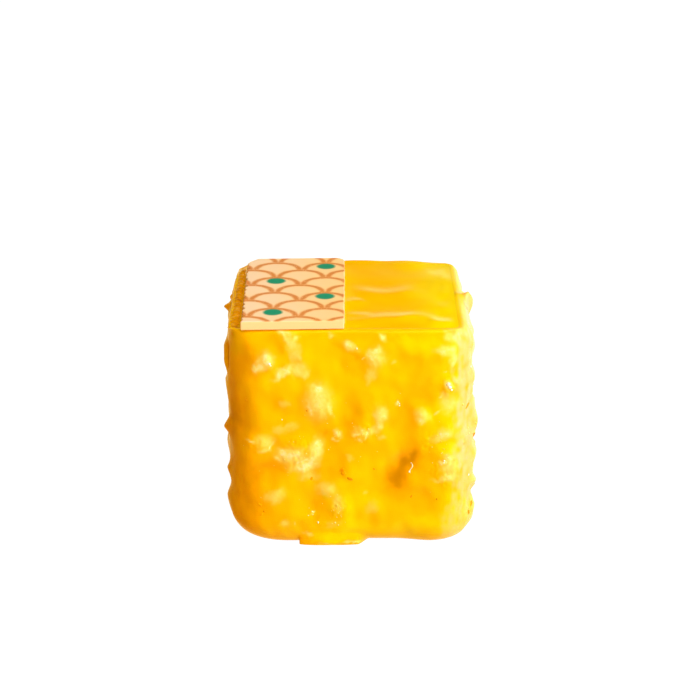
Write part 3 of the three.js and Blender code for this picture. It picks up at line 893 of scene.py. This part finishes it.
def icingMaterial():
    look = {
        "deep": (0.99, 0.43, 0.0),
        "yellow": (1.0, 0.505, 0.0),
        # painted light, brighter than the icing's own yellow
        "bright": (1.0, 0.64, 0.0),
        # pale nut seen through the icing, with painted sheen
        "pale": (1.0, 0.74, 0.165),
        # painted highlight
        "white": (1.0, 0.80, 0.42),
        # painted sheen of the strip on the right
        "cream": (0.99, 0.52, 0.15),
        # painted shade in hollows, the next one where they are deepest
        "paintedShadeOrange": (0.92, 0.375, 0.0),
        "brown": (0.58, 0.215, 0.0),
        "blotchSize": 160,  # noise scales are per metre
        "fineSize": 2600,
        "flakeSize": 1100,
    }
    material, shade, shader = newMaterial("nutIcing", {
        "IOR": 1.4,
        "Specular IOR Level": 0.4,
        "Specular Tint": (1.0, 0.75, 0.03, 1.0),
        "Subsurface Weight": 0.35,
        "Subsurface Radius": (1.0, 0.7, 0.2),
        "Subsurface Scale": 0.0008,
        "Coat Roughness": 0.14,
        "Coat IOR": 1.7,
    })
    place = shade.place()
    paintedShading = shade.field("paintedShading")
    paleTipsAndSheen = shade.field("paleTipsAndSheen")
    cream = shade.field("cream")
    blotch = shade.noise(place, look["blotchSize"], 2.0)
    fine = shade.noise(place, look["fineSize"], 2.0)
    flake = shade.noise(place, look["flakeSize"], 3.0, 0.6)
    colour = shade.mix(blotch.between(0.35, 0.65), look["deep"], look["yellow"])
    # painted light where the shading field is negative, then painted shade in hollows
    colour = shade.mix((0 - paintedShading).between(0.0, 0.9), colour, look["bright"])
    colour = shade.mix(paintedShading.between(0.0, 0.8) * 0.9, colour, look["paintedShadeOrange"])
    colour = shade.mix(paintedShading.between(0.6, 1.6), colour, look["brown"])
    # the strip of painted sheen, then pale nut with painted sheen
    colour = shade.mix((cream * (0.4 + 1.0 * flake)).clipped(), colour, look["cream"])
    colour = shade.mix((paleTipsAndSheen * (0.3 + 1.0 * flake + 0.6 * fine)).clipped(), colour, look["pale"])
    # painted highlight: near-white on the palest tips
    shine = paleTipsAndSheen.between(0.5, 0.9) * flake.between(0.45, 0.6)
    colour = shade.mix(shine * 0.7, colour, look["white"])
    shade.feed(shader.inputs["Base Color"], colour)
    shade.feed(shader.inputs["Roughness"], 0.16 + 0.12 * blotch)
    shade.feed(shader.inputs["Coat Weight"], ((paleTipsAndSheen + cream) * (0.3 + flake)).clipped())
    crumpled = flake * (0.2 + 0.9 * shade.field("grain")) * paleTipsAndSheen
    shade.feed(shader.inputs["Normal"], shade.bump(fine * 0.3 + blotch + crumpled, 0.00005, 0.6))
    return material


makeIcing(icingMaterial())
print("icing made")


# Ragged strip of icing along the left rim, beside the plaque

strip = {
    "seed": 23,
    "ends": (-14.6, 13.2),  # from front to back
    "step": 0.16,
    "pitch": (0.9, 1.7),  # of its teeth
    "outer": (-16.0, -15.75),  # across, at the front and at the back
    "inner": (-14.45, -14.75),
    "bite": (0.15, 0.45),
    "rise": (0.1, 0.3),
    "section": [  # share of the way across, height
        (0, -0.7),
        (0.1, 0.0),
        (0.4, 0.8),
        (0.6, 1.0),
        (0.85, 0.6),
        (1, -0.5),
    ],
}


def makeStrip(material):
    random = np.random.default_rng(strip["seed"])
    front, back = strip["ends"]
    y = np.arange(front, back, strip["step"])
    knots, bites, rises = [front], [], []
    while knots[-1] < back:
        knots.append(knots[-1] + random.uniform(*strip["pitch"]) / 2)
    for i in range(len(knots)):  # high and deep at every other knot
        bites.append(random.uniform(*strip["bite"]) * (i % 2))
        rises.append(random.uniform(*strip["rise"]) * (1 - i % 2))
    bite, rise = np.interp(y, knots, bites), np.interp(y, knots, rises)
    toBack = (y - front) / (back - front)
    inner = lerp(*strip["inner"], toBack) - bite
    outer = lerp(*strip["outer"], toBack) - rise + 0.3 * np.interp(y, knots, np.roll(bites, 1))
    ends = np.minimum(smooth(toBack, 0, 0.03), smooth(1 - toBack, 0, 0.03))
    columns = []
    for share, height in strip["section"]:
        x = lerp(outer, inner, share)
        lift = (height * (0.12 + rise) - 0.05 * abs(height)) * ends
        columns.append(np.stack([x, y, cakeTop + lift - droopAt(x, y)], 1))
    faces = gridFaces(len(columns), len(y), turned=True)
    piece = newPiece("ragged_rim", np.vstack(columns), faces, material)
    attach(piece, "root")


def stripMaterial():
    # golden and brown, darker than the icing: partly the strip's own colour, partly painted shade from the
    # plaque
    look = {"golden": (0.80, 0.32, 0.0), "brown": (0.55, 0.17, 0.0), "light": (0.95, 0.50, 0.06), "size": 900}
    material, shade, shader = newMaterial("raggedIcing", {
        "IOR": 1.4,
        "Specular IOR Level": 0.4,
        "Specular Tint": (1.0, 0.7, 0.1, 1.0),
    })
    patch = shade.noise(shade.place(), look["size"], 3.0)
    colour = shade.mix(patch.between(0.3, 0.5), look["brown"], look["golden"])
    colour = shade.mix(patch.between(0.55, 0.7), colour, look["light"])
    shade.feed(shader.inputs["Base Color"], colour)
    shade.feed(shader.inputs["Roughness"], 0.25 + 0.2 * patch)
    shade.feed(shader.inputs["Normal"], shade.bump(patch, 0.00005, 0.5))
    return material


makeStrip(stripMaterial())
print("ragged rim made")


# Small bits on the icing: bubbles, near-white bits of nut that carry painted glints, and flecks of brown nut
# skin

bits = {
    "seed": 17,
    "segments": 8,
    "rings": 4,
    "below": 0.7,  # how far down each reaches, as a share of half a turn
    "uneven": (0.85, 1.1),
    "bubbleYellows": ((1.0, 0.58, 0.02), (1.0, 0.70, 0.16)),
    "glintAndNutYellows": ((1.0, 0.86, 0.5), (1.0, 0.95, 0.85)),
    "clusters": [  # along, up, spread along, spread up, how many, least and greatest radius of bubbles
        (-1.7, 5.6, 0.4, 1.0, 22, 0.05, 0.11),
        (-4.8, 5.0, 0.9, 0.4, 4, 0.06, 0.14),
        (1.6, 16.2, 1.0, 0.7, 16, 0.05, 0.13),
        (-1.6, 16.2, 0.3, 0.3, 6, 0.05, 0.1),
        (-7.2, 13.2, 2.2, 1.3, 26, 0.04, 0.08),
        (-4.0, 20.9, 1.1, 1.7, 14, 0.04, 0.08),
        (12.4, 16.2, 1.0, 0.8, 8, 0.05, 0.1),
        (12.8, 12.0, 1.4, 2.2, 12, 0.05, 0.1),
        (17.6, 16.0, 1.4, 7.0, 30, 0.05, 0.16),
        (0.0, 16.0, 8.0, 7.0, 40, 0.03, 0.06),
        (61.0, 16.0, 22.0, 6.0, 70, 0.04, 0.12),
    ],
    "glints": [  # along, up, radius: bare wet bits of nut, near-white, that also are painted glints
        (-10.55, 26.35, 0.17),
        (-10.4, 26.1, 0.1),
        (12.9, 23.35, 0.28),
        (13.1, 22.95, 0.24),
        (13.3, 22.6, 0.16),
        (0.9, 28.4, 0.1),
        (12.5, 12.6, 0.14),
        (12.45, 12.3, 0.1),
        (8.15, 12.0, 0.07),
        (8.25, 11.85, 0.07),
        (8.3, 11.7, 0.07),
        (8.3, 11.55, 0.07),
        (8.25, 11.4, 0.07),
        (8.15, 11.25, 0.07),
        (8.05, 11.1, 0.07),
        (7.95, 10.95, 0.07),
        (7.9, 10.8, 0.12),
        (-4.35, 3.4, 0.13),
        (-5.1, 5.0, 0.09),
        (6.3, 20.8, 0.08),
        (6.5, 20.6, 0.09),
        (6.5, 20.3, 0.08),
        (-9.0, 18.4, 0.07),
        (17.0, 24.9, 0.14),
        (17.6, 21.0, 0.16),
        (16.6, 9.6, 0.12),
    ],
    "skins": [  # along, up, radius
        (-0.9, 10.8, 0.34),
        (-1.1, 11.3, 0.24),
        (0.0, 9.9, 0.26),
        (-5.1, 9.9, 0.22),
        (-14.0, 20.9, 0.16),
        (-5.7, 19.7, 0.12),
        (-12.1, 6.1, 0.15),
        (-11.5, 5.2, 0.13),
        (-11.9, 4.7, 0.14),
        (11.6, 7.0, 0.14),
        (8.2, 7.4, 0.12),
        (3.2, 11.3, 0.12),
        (16.4, 19.6, 0.3),
        (17.9, 15.0, 0.36),
        (17.6, 5.0, 0.26),
        (16.9, 4.0, 0.2),
        (22.0, 12.0, 0.3),
        (27.5, 21.0, 0.25),
        (38.0, 9.0, 0.3),
        (47.0, 18.0, 0.3),
        (55.0, 11.0, 0.25),
        (66.0, 20.0, 0.3),
        (78.0, 14.0, 0.3),
        (90.0, 22.0, 0.28),
        (97.0, 8.0, 0.3),
    ],
}


def pebbles(places, outs, radii, random, squash, stretch):  # small blobs half sunk in a surface
    segments, rings = bits["segments"], bits["rings"]
    points, faces = [], []
    for place, out, radius in zip(places, outs, radii):
        side = np.cross(out, random.normal(size=3))
        side = side / np.linalg.norm(side)
        other = np.cross(out, side)
        long = radius * random.uniform(1, stretch)
        first = len(points)
        points.append(place + out * radius * squash)
        for ring in range(1, rings + 1):
            lean = ring / rings * bits["below"] * math.pi
            for i in range(segments):
                turn = i / segments * 2 * math.pi
                wide = math.sin(lean) * random.uniform(*bits["uneven"])
                flat = side * math.cos(turn) * wide * long + other * math.sin(turn) * wide * radius
                points.append(place + flat + out * math.cos(lean) * radius * squash)
        faces += [(first, first + 1 + i, first + 1 + (i + 1) % segments) for i in range(segments)]
        for ring in range(rings - 1):
            low = first + 1 + ring * segments
            high = low + segments
            for i in range(segments):
                j = (i + 1) % segments
                faces.append((low + i, high + i, high + j, low + j))
        faces.append(tuple(first + 1 + (rings - 1) * segments + i for i in reversed(range(segments))))
    return points, faces


def standOn(along, up, step=0.1):  # places on the icing and the way out from it there
    along, up = np.array(along), np.array(up)
    sideways = skinOf(along + step, up)[0] - skinOf(along - step, up)[0]
    upwards = skinOf(along, up + step)[0] - skinOf(along, up - step)[0]
    out = np.cross(sideways, upwards)
    return skinOf(along, up)[0], out / np.linalg.norm(out, axis=1)[:, None]


def makeBubbles(material):
    random = np.random.default_rng(bits["seed"])
    along, up, radii = [], [], []
    for middle, height, spreadAlong, spreadUp, count, least, greatest in bits["clusters"]:
        along += list(middle + spreadAlong * random.normal(size=count))
        up += list(np.clip(height + spreadUp * random.normal(size=count), 1.0, wallTop + 1))
        radii += list(lerp(least, greatest, random.random(count) ** 2))
    points, faces = pebbles(*standOn(along, up), radii, random, squash=0.6, stretch=1.5)
    piece = newPiece("icing_bubbles", points, faces, material)
    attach(piece, "root")


def makeSpecks(name, rows, material, seed, squash, stretch):
    along, up, radii = zip(*rows)
    points, faces = pebbles(*standOn(along, up), radii, np.random.default_rng(seed), squash, stretch)
    piece = newPiece(name, points, faces, material)
    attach(piece, "root")


def bubbleMaterial(name, yellow, pale):
    look = {"yellow": yellow, "pale": pale, "size": 700}
    material, shade, shader = newMaterial(name, {
        "IOR": 1.4,
        "Coat Weight": 1.0,
        "Coat Roughness": 0.04,
        "Coat IOR": 1.7,
    })
    patch = shade.noise(shade.place(), look["size"], 2.0)
    shade.feed(shader.inputs["Base Color"], shade.mix(patch.between(0.4, 0.6), look["yellow"], look["pale"]))
    shade.feed(shader.inputs["Roughness"], 0.1 + 0.2 * patch)
    return material


def skinMaterial():
    look = {"brown": (0.74, 0.24, 0.0), "orange": (0.92, 0.38, 0.0), "size": 1500}
    material, shade, shader = newMaterial("nutSkin", {
        "IOR": 1.4,
        "Specular IOR Level": 0.2,
        "Specular Tint": (1.0, 0.6, 0.1, 1.0),
    })
    patch = shade.noise(shade.place(), look["size"], 3.0)
    colour = shade.mix(patch.between(0.35, 0.65), look["brown"], look["orange"])
    shade.feed(shader.inputs["Base Color"], colour)
    shade.feed(shader.inputs["Roughness"], 0.3 + 0.2 * patch)
    shade.feed(shader.inputs["Normal"], shade.bump(patch, 0.00003, 0.5))
    return material


# near-white: painted glints on bare bits of nut
glintAndBareNut = bubbleMaterial("glintAndBareNut", *bits["glintAndNutYellows"])
makeBubbles(bubbleMaterial("wetBubbles", *bits["bubbleYellows"]))
makeSpecks("glint_and_nut_bits", bits["glints"], glintAndBareNut, seed=19, squash=0.7, stretch=1.5)
makeSpecks("nut_skins", bits["skins"], skinMaterial(), seed=18, squash=0.25, stretch=2.2)
print("bubbles and nut skins made")


# Glaze

glaze = {
    "grid": 140,
    "soft": 1.5,  # swells and dents die out this close to its edge
    "field": 40.0,  # the waves repeat over this width
    "swell": 0.03,
    "swellLength": 9.0,
    "mottle": 0.025,  # near the right edge, where it caught the nuts
    "mottleAcross": (9.5, 13),  # starts, is full
    "mottleBack": (9, 13),  # fades, ends
    "mottleLength": 1.9,
    "mottleStretch": 0.3,  # it runs from front to back
    "dents": [  # middle across and back, half length, half width, bow, tilt in degrees, height
        (5.6, 1.5, 3.9, 2.6, -2.4, 10, 0.2),
        (1.0, -3.9, 1.6, 1.4, 0.0, 30, 0.12),
        (4.0, -11.6, 4.4, 2.0, 0.3, 15, 0.2),
        (9.6, -10.9, 2.6, 1.8, 0.8, -20, 0.15),
        (1.7, -9.4, 1.6, 1.2, 0.0, -5, 0.08),
        (12.8, -12.6, 1.8, 1.6, 0.0, 0, 0.18),
    ],
}


def glazePlaces(count):  # a square grid whose rings follow the glaze's rounded outline
    u, v = np.meshgrid(np.linspace(-1, 1, count), np.linspace(-1, 1, count))
    ring = np.maximum(abs(u), abs(v))
    tiny = 1e-9
    safe = np.maximum(ring, tiny)
    sides = [v <= -ring + tiny, u >= ring - tiny, v >= ring - tiny]
    shares = [u / safe / 8, 0.25 + v / safe / 8, 0.5 - u / safe / 8]
    share = np.select(sides, shares, 0.75 - v / safe / 8)
    x, y = outlineAt(share, topHalf * ring, cake["glazeCorner"] * ring ** 4)[:2]
    atMiddle = ring < 1e-6
    return np.where(atMiddle, 0, x), np.where(atMiddle, 0, y), (1 - ring) * topHalf


def makeGlaze(material):
    width = glaze["grid"] + 1
    x, y, fromEdge = glazePlaces(width)
    inside = smooth(fromEdge, 0, glaze["soft"])
    fieldX = x + glaze["field"] / 2
    z = cakeTop + glaze["swell"] * waves(fieldX, y, glaze["swellLength"], glaze["field"], seed=8) * inside
    mottle = waves(fieldX, y * glaze["mottleStretch"], glaze["mottleLength"], glaze["field"], seed=21)
    mottle = mottle * smooth(x, *glaze["mottleAcross"]) * (1 - smooth(y, *glaze["mottleBack"]))
    z = z + glaze["mottle"] * mottle * smooth(fromEdge, 0, 0.8)
    for across, deep, halfLength, halfWidth, bow, tilt, height in glaze["dents"]:
        cos, sin = math.cos(math.radians(tilt)), math.sin(math.radians(tilt))
        s = ((x - across) * cos + (y - deep) * sin) / halfLength
        t = ((y - deep) * cos - (x - across) * sin - bow * (1 - s * s)) / halfWidth
        z = z + height * np.exp(-t * t - np.abs(s) ** 4) * inside
    z = z - droopAt(x + topAcross, y)
    top = np.stack([x + topAcross, y, z], -1).reshape(-1, 3)
    bottom = top.copy()
    bottom[:, 2] = glazeLow[2]
    faces = gridFaces(width, width) + gridFaces(width, width, first=len(top), turned=True)
    last = width - 1
    rim = list(range(last)) + [i * width + last for i in range(last)]
    rim += [last * width + last - i for i in range(last)] + [(last - i) * width for i in range(last)]
    slabFaces, first = len(faces), 2 * len(top)
    points = np.vstack([top, bottom, top[rim], bottom[rim]])  # the wall has its own, for a crisp edge
    for i in range(len(rim)):
        j = (i + 1) % len(rim)
        faces.append((first + j, first + i, first + len(rim) + i, first + len(rim) + j))
    piece = newPiece("glaze_top", points, faces, material, flatFrom=slabFaces)
    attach(piece, "root")
    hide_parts("apricot_glaze")


def glazeMaterial():
    look = {
        "deep": (1.0, 0.49, 0.0),
        "light": (1.0, 0.53, 0.0),
        "yellow": (1.0, 0.68, 0.0),  # towards the right edge
        "plaqueShadow": (0.96, 0.38, 0.0),  # painted shadow of the plaque, left of it
        "blotchSize": 120,
    }
    material, shade, shader = newMaterial("apricotGlaze", {
        "IOR": 1.45,
        "Specular IOR Level": 0.5,
        "Specular Tint": (1.0, 0.8, 0.1, 1.0),
        "Subsurface Weight": 0.2,
        "Subsurface Radius": (1.0, 0.6, 0.1),
        "Subsurface Scale": 0.001,
    })
    place = shade.place()
    blotch = shade.noise(place, look["blotchSize"], 3.0)
    across = shade.node("SeparateXYZ", {}, {0: place}, 0) / mm
    colour = shade.mix(blotch.between(0.3, 0.7), look["deep"], look["light"])
    colour = shade.mix((across + blotch * 6).between(8.5, 15.5), colour, look["yellow"])
    # painted shadow of the plaque on the glaze beside its left edge
    colour = shade.mix(across.between(plaqueLow[0] - 1, plaqueLow[0] + 0.5), look["plaqueShadow"], colour)
    shade.feed(shader.inputs["Base Color"], colour)
    shade.feed(shader.inputs["Roughness"], 0.12 + 0.08 * blotch)
    shade.feed(shader.inputs["Normal"], shade.bump(blotch, 0.00003, 0.5))
    return material


makeGlaze(glazeMaterial())
print("glaze made")


# Plaque

plaque = {
    "length": 28.0,
    "overhang": 0.4,  # beyond the glaze's front edge
    "corner": 1.5,
    "jagPitch": 0.8,  # of the teeth along its left edge
    "jagDepth": (0.15, 0.45),
    "jagTip": 0.2,  # every other one is this shallow, as a share
    "jagSeed": 7,
    "slant": 0.04,  # how far its ends lean off square, forwards on the left
    "spread": 0.3,  # how much wider it is at the back, on its left
    "bevel": 0.12,
    "waver": 0.07,  # of its right edge
    "waverSteps": 23,
}


def makePlaque(material):
    draw = drawFrom(plaque["jagSeed"])
    left, right = plaqueLow[0], plaqueHigh[0]
    front = -topHalf - plaque["overhang"]
    back = front + plaque["length"]
    corner = plaque["corner"]
    outline = [(left, front), (right, front)]
    for share in np.linspace(0.04, 0.92, plaque["waverSteps"]):  # the right edge isn't quite straight
        outline.append((right + draw(-plaque["waver"], plaque["waver"]), front + share * plaque["length"]))
    for bend in np.linspace(0, math.pi / 2, 9):
        outline.append((right - corner + corner * math.cos(bend), back - corner + corner * math.sin(bend)))
    outline.append((left - plaque["spread"] + corner, back))
    run = back - front - corner
    teeth = round(run / plaque["jagPitch"])
    for i in range(teeth, 0, -1):
        depth = draw(*plaque["jagDepth"]) * (1 if i % 2 else plaque["jagTip"])
        outline.append((left + depth - plaque["spread"] * i / teeth, front + i / teeth * run))
    outline = [(x, y + plaque["slant"] * x) for x, y in outline]
    count = len(outline)
    points = [(x, y, plaqueLow[2]) for x, y in outline] + [(x, y, plaqueHigh[2]) for x, y in outline]
    faces = [tuple(reversed(range(count))), tuple(range(count, 2 * count))]
    faces += [(i, (i + 1) % count, count + (i + 1) % count, count + i) for i in range(count)]
    piece = newPiece("printed_plaque", points, faces, material, flatFrom=0)
    bevel = piece.modifiers.new("softEdges", "BEVEL")
    bevel.width = plaque["bevel"] * mm
    bevel.segments = 3
    bevel.limit_method = "ANGLE"
    bevel.angle_limit = math.radians(50)
    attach(piece, "root")
    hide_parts("chocolate_plaque")


def plaqueMaterial():
    look = {
        "cream": (0.92, 0.59, 0.29),
        "side": (0.93, 0.59, 0.29),
        "greyed": (0.86, 0.62, 0.44),  # towards its left edge
        "warm": (0.95, 0.56, 0.18),  # where the ink has spread
        "terracotta": (0.62, 0.18, 0.025),
        "green": (0.0, 0.25, 0.14),
        "arc": 3.4,  # radius of the scallops
        "line": 0.38,  # half a line's width
        "dot": 1.25,  # radius
        "dotUp": 1.5,
        "wobble": 0.25,
        "wobbleSize": 900,
        "grainSize": 3200,
        "spreadSize": 200,
    }
    material, shade, shader = newMaterial("printedWhiteChocolate", {
        "IOR": 1.45,
        "Specular IOR Level": 0.1,
        "Specular Tint": (1.0, 0.9, 0.6, 1.0),
        "Subsurface Weight": 0.1,
        "Subsurface Radius": (1.0, 0.6, 0.3),
        "Subsurface Scale": 0.0004,
    })
    place = shade.place()
    x, y, z = (shade.node("SeparateXYZ", {}, {0: place}, axis) / mm for axis in range(3))
    wobble = (shade.noise(place, look["wobbleSize"], 2.0) - 0.5) * look["wobble"]
    row = y / look["arc"]
    even = shade.maths("FLOOR", row, 0)
    shift = shade.maths("PINGPONG", even, 1.0)  # every other row sits half an arc to the side
    across = shade.maths("PINGPONG", x / look["arc"] + shift + 1.0, 1.0) * look["arc"]
    above = (row - even) * look["arc"]
    fromMiddle = (across * across + above * above) ** 0.5 + wobble
    grain = shade.noise(place, look["grainSize"], 2.0, 0.7)
    ring = (fromMiddle - (look["arc"] - look["line"])).absolute()
    lines = 1 - ring.between(look["line"] - 0.25, look["line"] + 0.25)
    lines = lines * grain.between(0.15, 0.45)
    lowDot = above - look["dotUp"]
    fromDot = (across * across + lowDot * lowDot) ** 0.5 + wobble * 0.6
    dots = 1 - fromDot.between(look["dot"] - 0.2, look["dot"] + 0.3)
    pair = shade.maths("PINGPONG", x / look["arc"] / 2 + even / 2 + 0.5, 1.0)
    dots = dots * pair.between(0.49, 0.51) * (1 - shift)  # in every other arc of every other row
    onTop = z.between(plaqueHigh[2] - 0.1, plaqueHigh[2] - 0.03)
    cream = shade.mix(x.between(plaqueLow[0], plaqueHigh[0]), look["greyed"], look["cream"])
    spread = (1 - ring.between(0.1, 1.2)) * onTop
    patch = shade.noise(place, look["spreadSize"], 3.0)
    cream = shade.mix(patch * (0.25 + 0.6 * spread), cream, look["warm"])
    cream = shade.mix(onTop, look["side"], cream)
    colour = shade.mix(lines * onTop * 0.92, cream, look["terracotta"])
    colour = shade.mix(dots * onTop, colour, look["green"])
    shade.feed(shader.inputs["Base Color"], colour)
    shade.feed(shader.inputs["Roughness"], 0.36 + 0.12 * grain)
    shade.feed(shader.inputs["Normal"], shade.bump(grain, 0.00002, 0.4))
    return material


makePlaque(plaqueMaterial())
print("plaque made")


# Floor, light and camera

studio = {
    "floorSize": 3.0,  # metres
    "floorColour": (0.1, 0.1, 0.1),
    "floorGlow": 1.0,
    "lights": [  # name, watts, side in metres, direction towards it, metres away
        ("key", 2.55, 0.45, (0.80, -0.42, 0.45), 0.45),
        ("spark", 0.25, 0.05, (0.72, -0.52, 0.50), 0.45),
        ("top", 0.75, 0.16, (0.15, -0.55, 0.85), 0.4),
        ("rim", 0.06, 0.25, (1.0, 0.6, 0.3), 0.45),
    ],
    "lowLeft": (1.05, 0.64, 0.10),  # what comes up from below and off the table
    "farLeft": (0.7, 0.38, 0.03),
    "lowRight": (1.3, 1.2, 0.75),
    "farRight": (0.95, 0.95, 0.9),
    "dim": (0.09, 0.06, 0.0),
    "overhead": (0.5, 0.42, 0.2),
    "lens": 107.2,
    "pitch": 19.5,  # degrees down
    "cameraPlace": (-0.02, -272.7, 119.0),
}


def addLight(name, power, size, direction, distance):
    data = bpy.data.lights.new(name, "AREA")
    data.shape = "SQUARE"
    data.size = size
    data.energy = power
    light = bpy.data.objects.new(name, data)
    target = Vector((0, 0, cakeTop / 2 * mm))
    toward = Vector(direction).normalized()
    light.location = target + toward * distance
    light.rotation_euler = toward.to_track_quat("Z", "Y").to_euler()
    bpy.context.scene.collection.objects.link(light)


def makeFloor():
    half = studio["floorSize"] / 2 / mm
    material = newMaterial("studioFloor", {
        "Base Color": (*studio["floorColour"], 1),
        "Roughness": 0.9,
        "Specular IOR Level": 0.0,
        "Emission Color": (1.0, 1.0, 1.0, 1.0),
        "Emission Strength": studio["floorGlow"],
    })[0]
    floor = newPiece("studio_floor", [(-half, -half, 0), (half, -half, 0), (half, half, 0), (-half, half, 0)],
                     [(0, 1, 2, 3)], material, flatFrom=0)
    floor.visible_diffuse = floor.visible_glossy = False  # the world's lower half lights the cake instead


def makeWorld():
    world = bpy.data.worlds.new("studio")
    bpy.context.scene.world = world
    world.use_nodes = True
    background = world.node_tree.nodes["Background"]
    sky = Socket(world.node_tree)
    direction = sky.node("TexCoord", {}, {}, "Generated")
    x, y, z = (sky.node("SeparateXYZ", {}, {0: direction}, axis) for axis in range(3))
    elevation = z - 0.14 * y.between(-0.2, 0.5)  # it is pale higher up behind
    above = sky.mix(elevation.between(0.5, 0.65), studio["dim"], studio["overhead"])
    below = sky.mix(x.between(-0.65, 0.35), studio["lowLeft"], studio["lowRight"])
    below = sky.mix(x.between(0.6, 0.9), below, studio["farRight"])
    below = sky.mix(x.between(-0.95, -0.6), studio["farLeft"], below)
    sky.feed(background.inputs["Color"], sky.mix(elevation.between(0.01, 0.12), below, above))
    background.inputs["Strength"].default_value = 1.0


def makeCamera():
    data = bpy.data.cameras.new("camera")
    data.lens = studio["lens"]
    data.sensor_width = 36
    camera = bpy.data.objects.new("camera", data)
    camera.location = Vector(studio["cameraPlace"]) * mm
    camera.rotation_euler = (math.radians(90 - studio["pitch"]), 0, 0)
    data.clip_start, data.clip_end = 0.01, 10
    bpy.context.scene.collection.objects.link(camera)
    bpy.context.scene.camera = camera


makeFloor()
for light in studio["lights"]:
    addLight(*light)
makeWorld()
makeCamera()
bpy.context.scene.view_settings.view_transform = "Standard"
print("studio made")
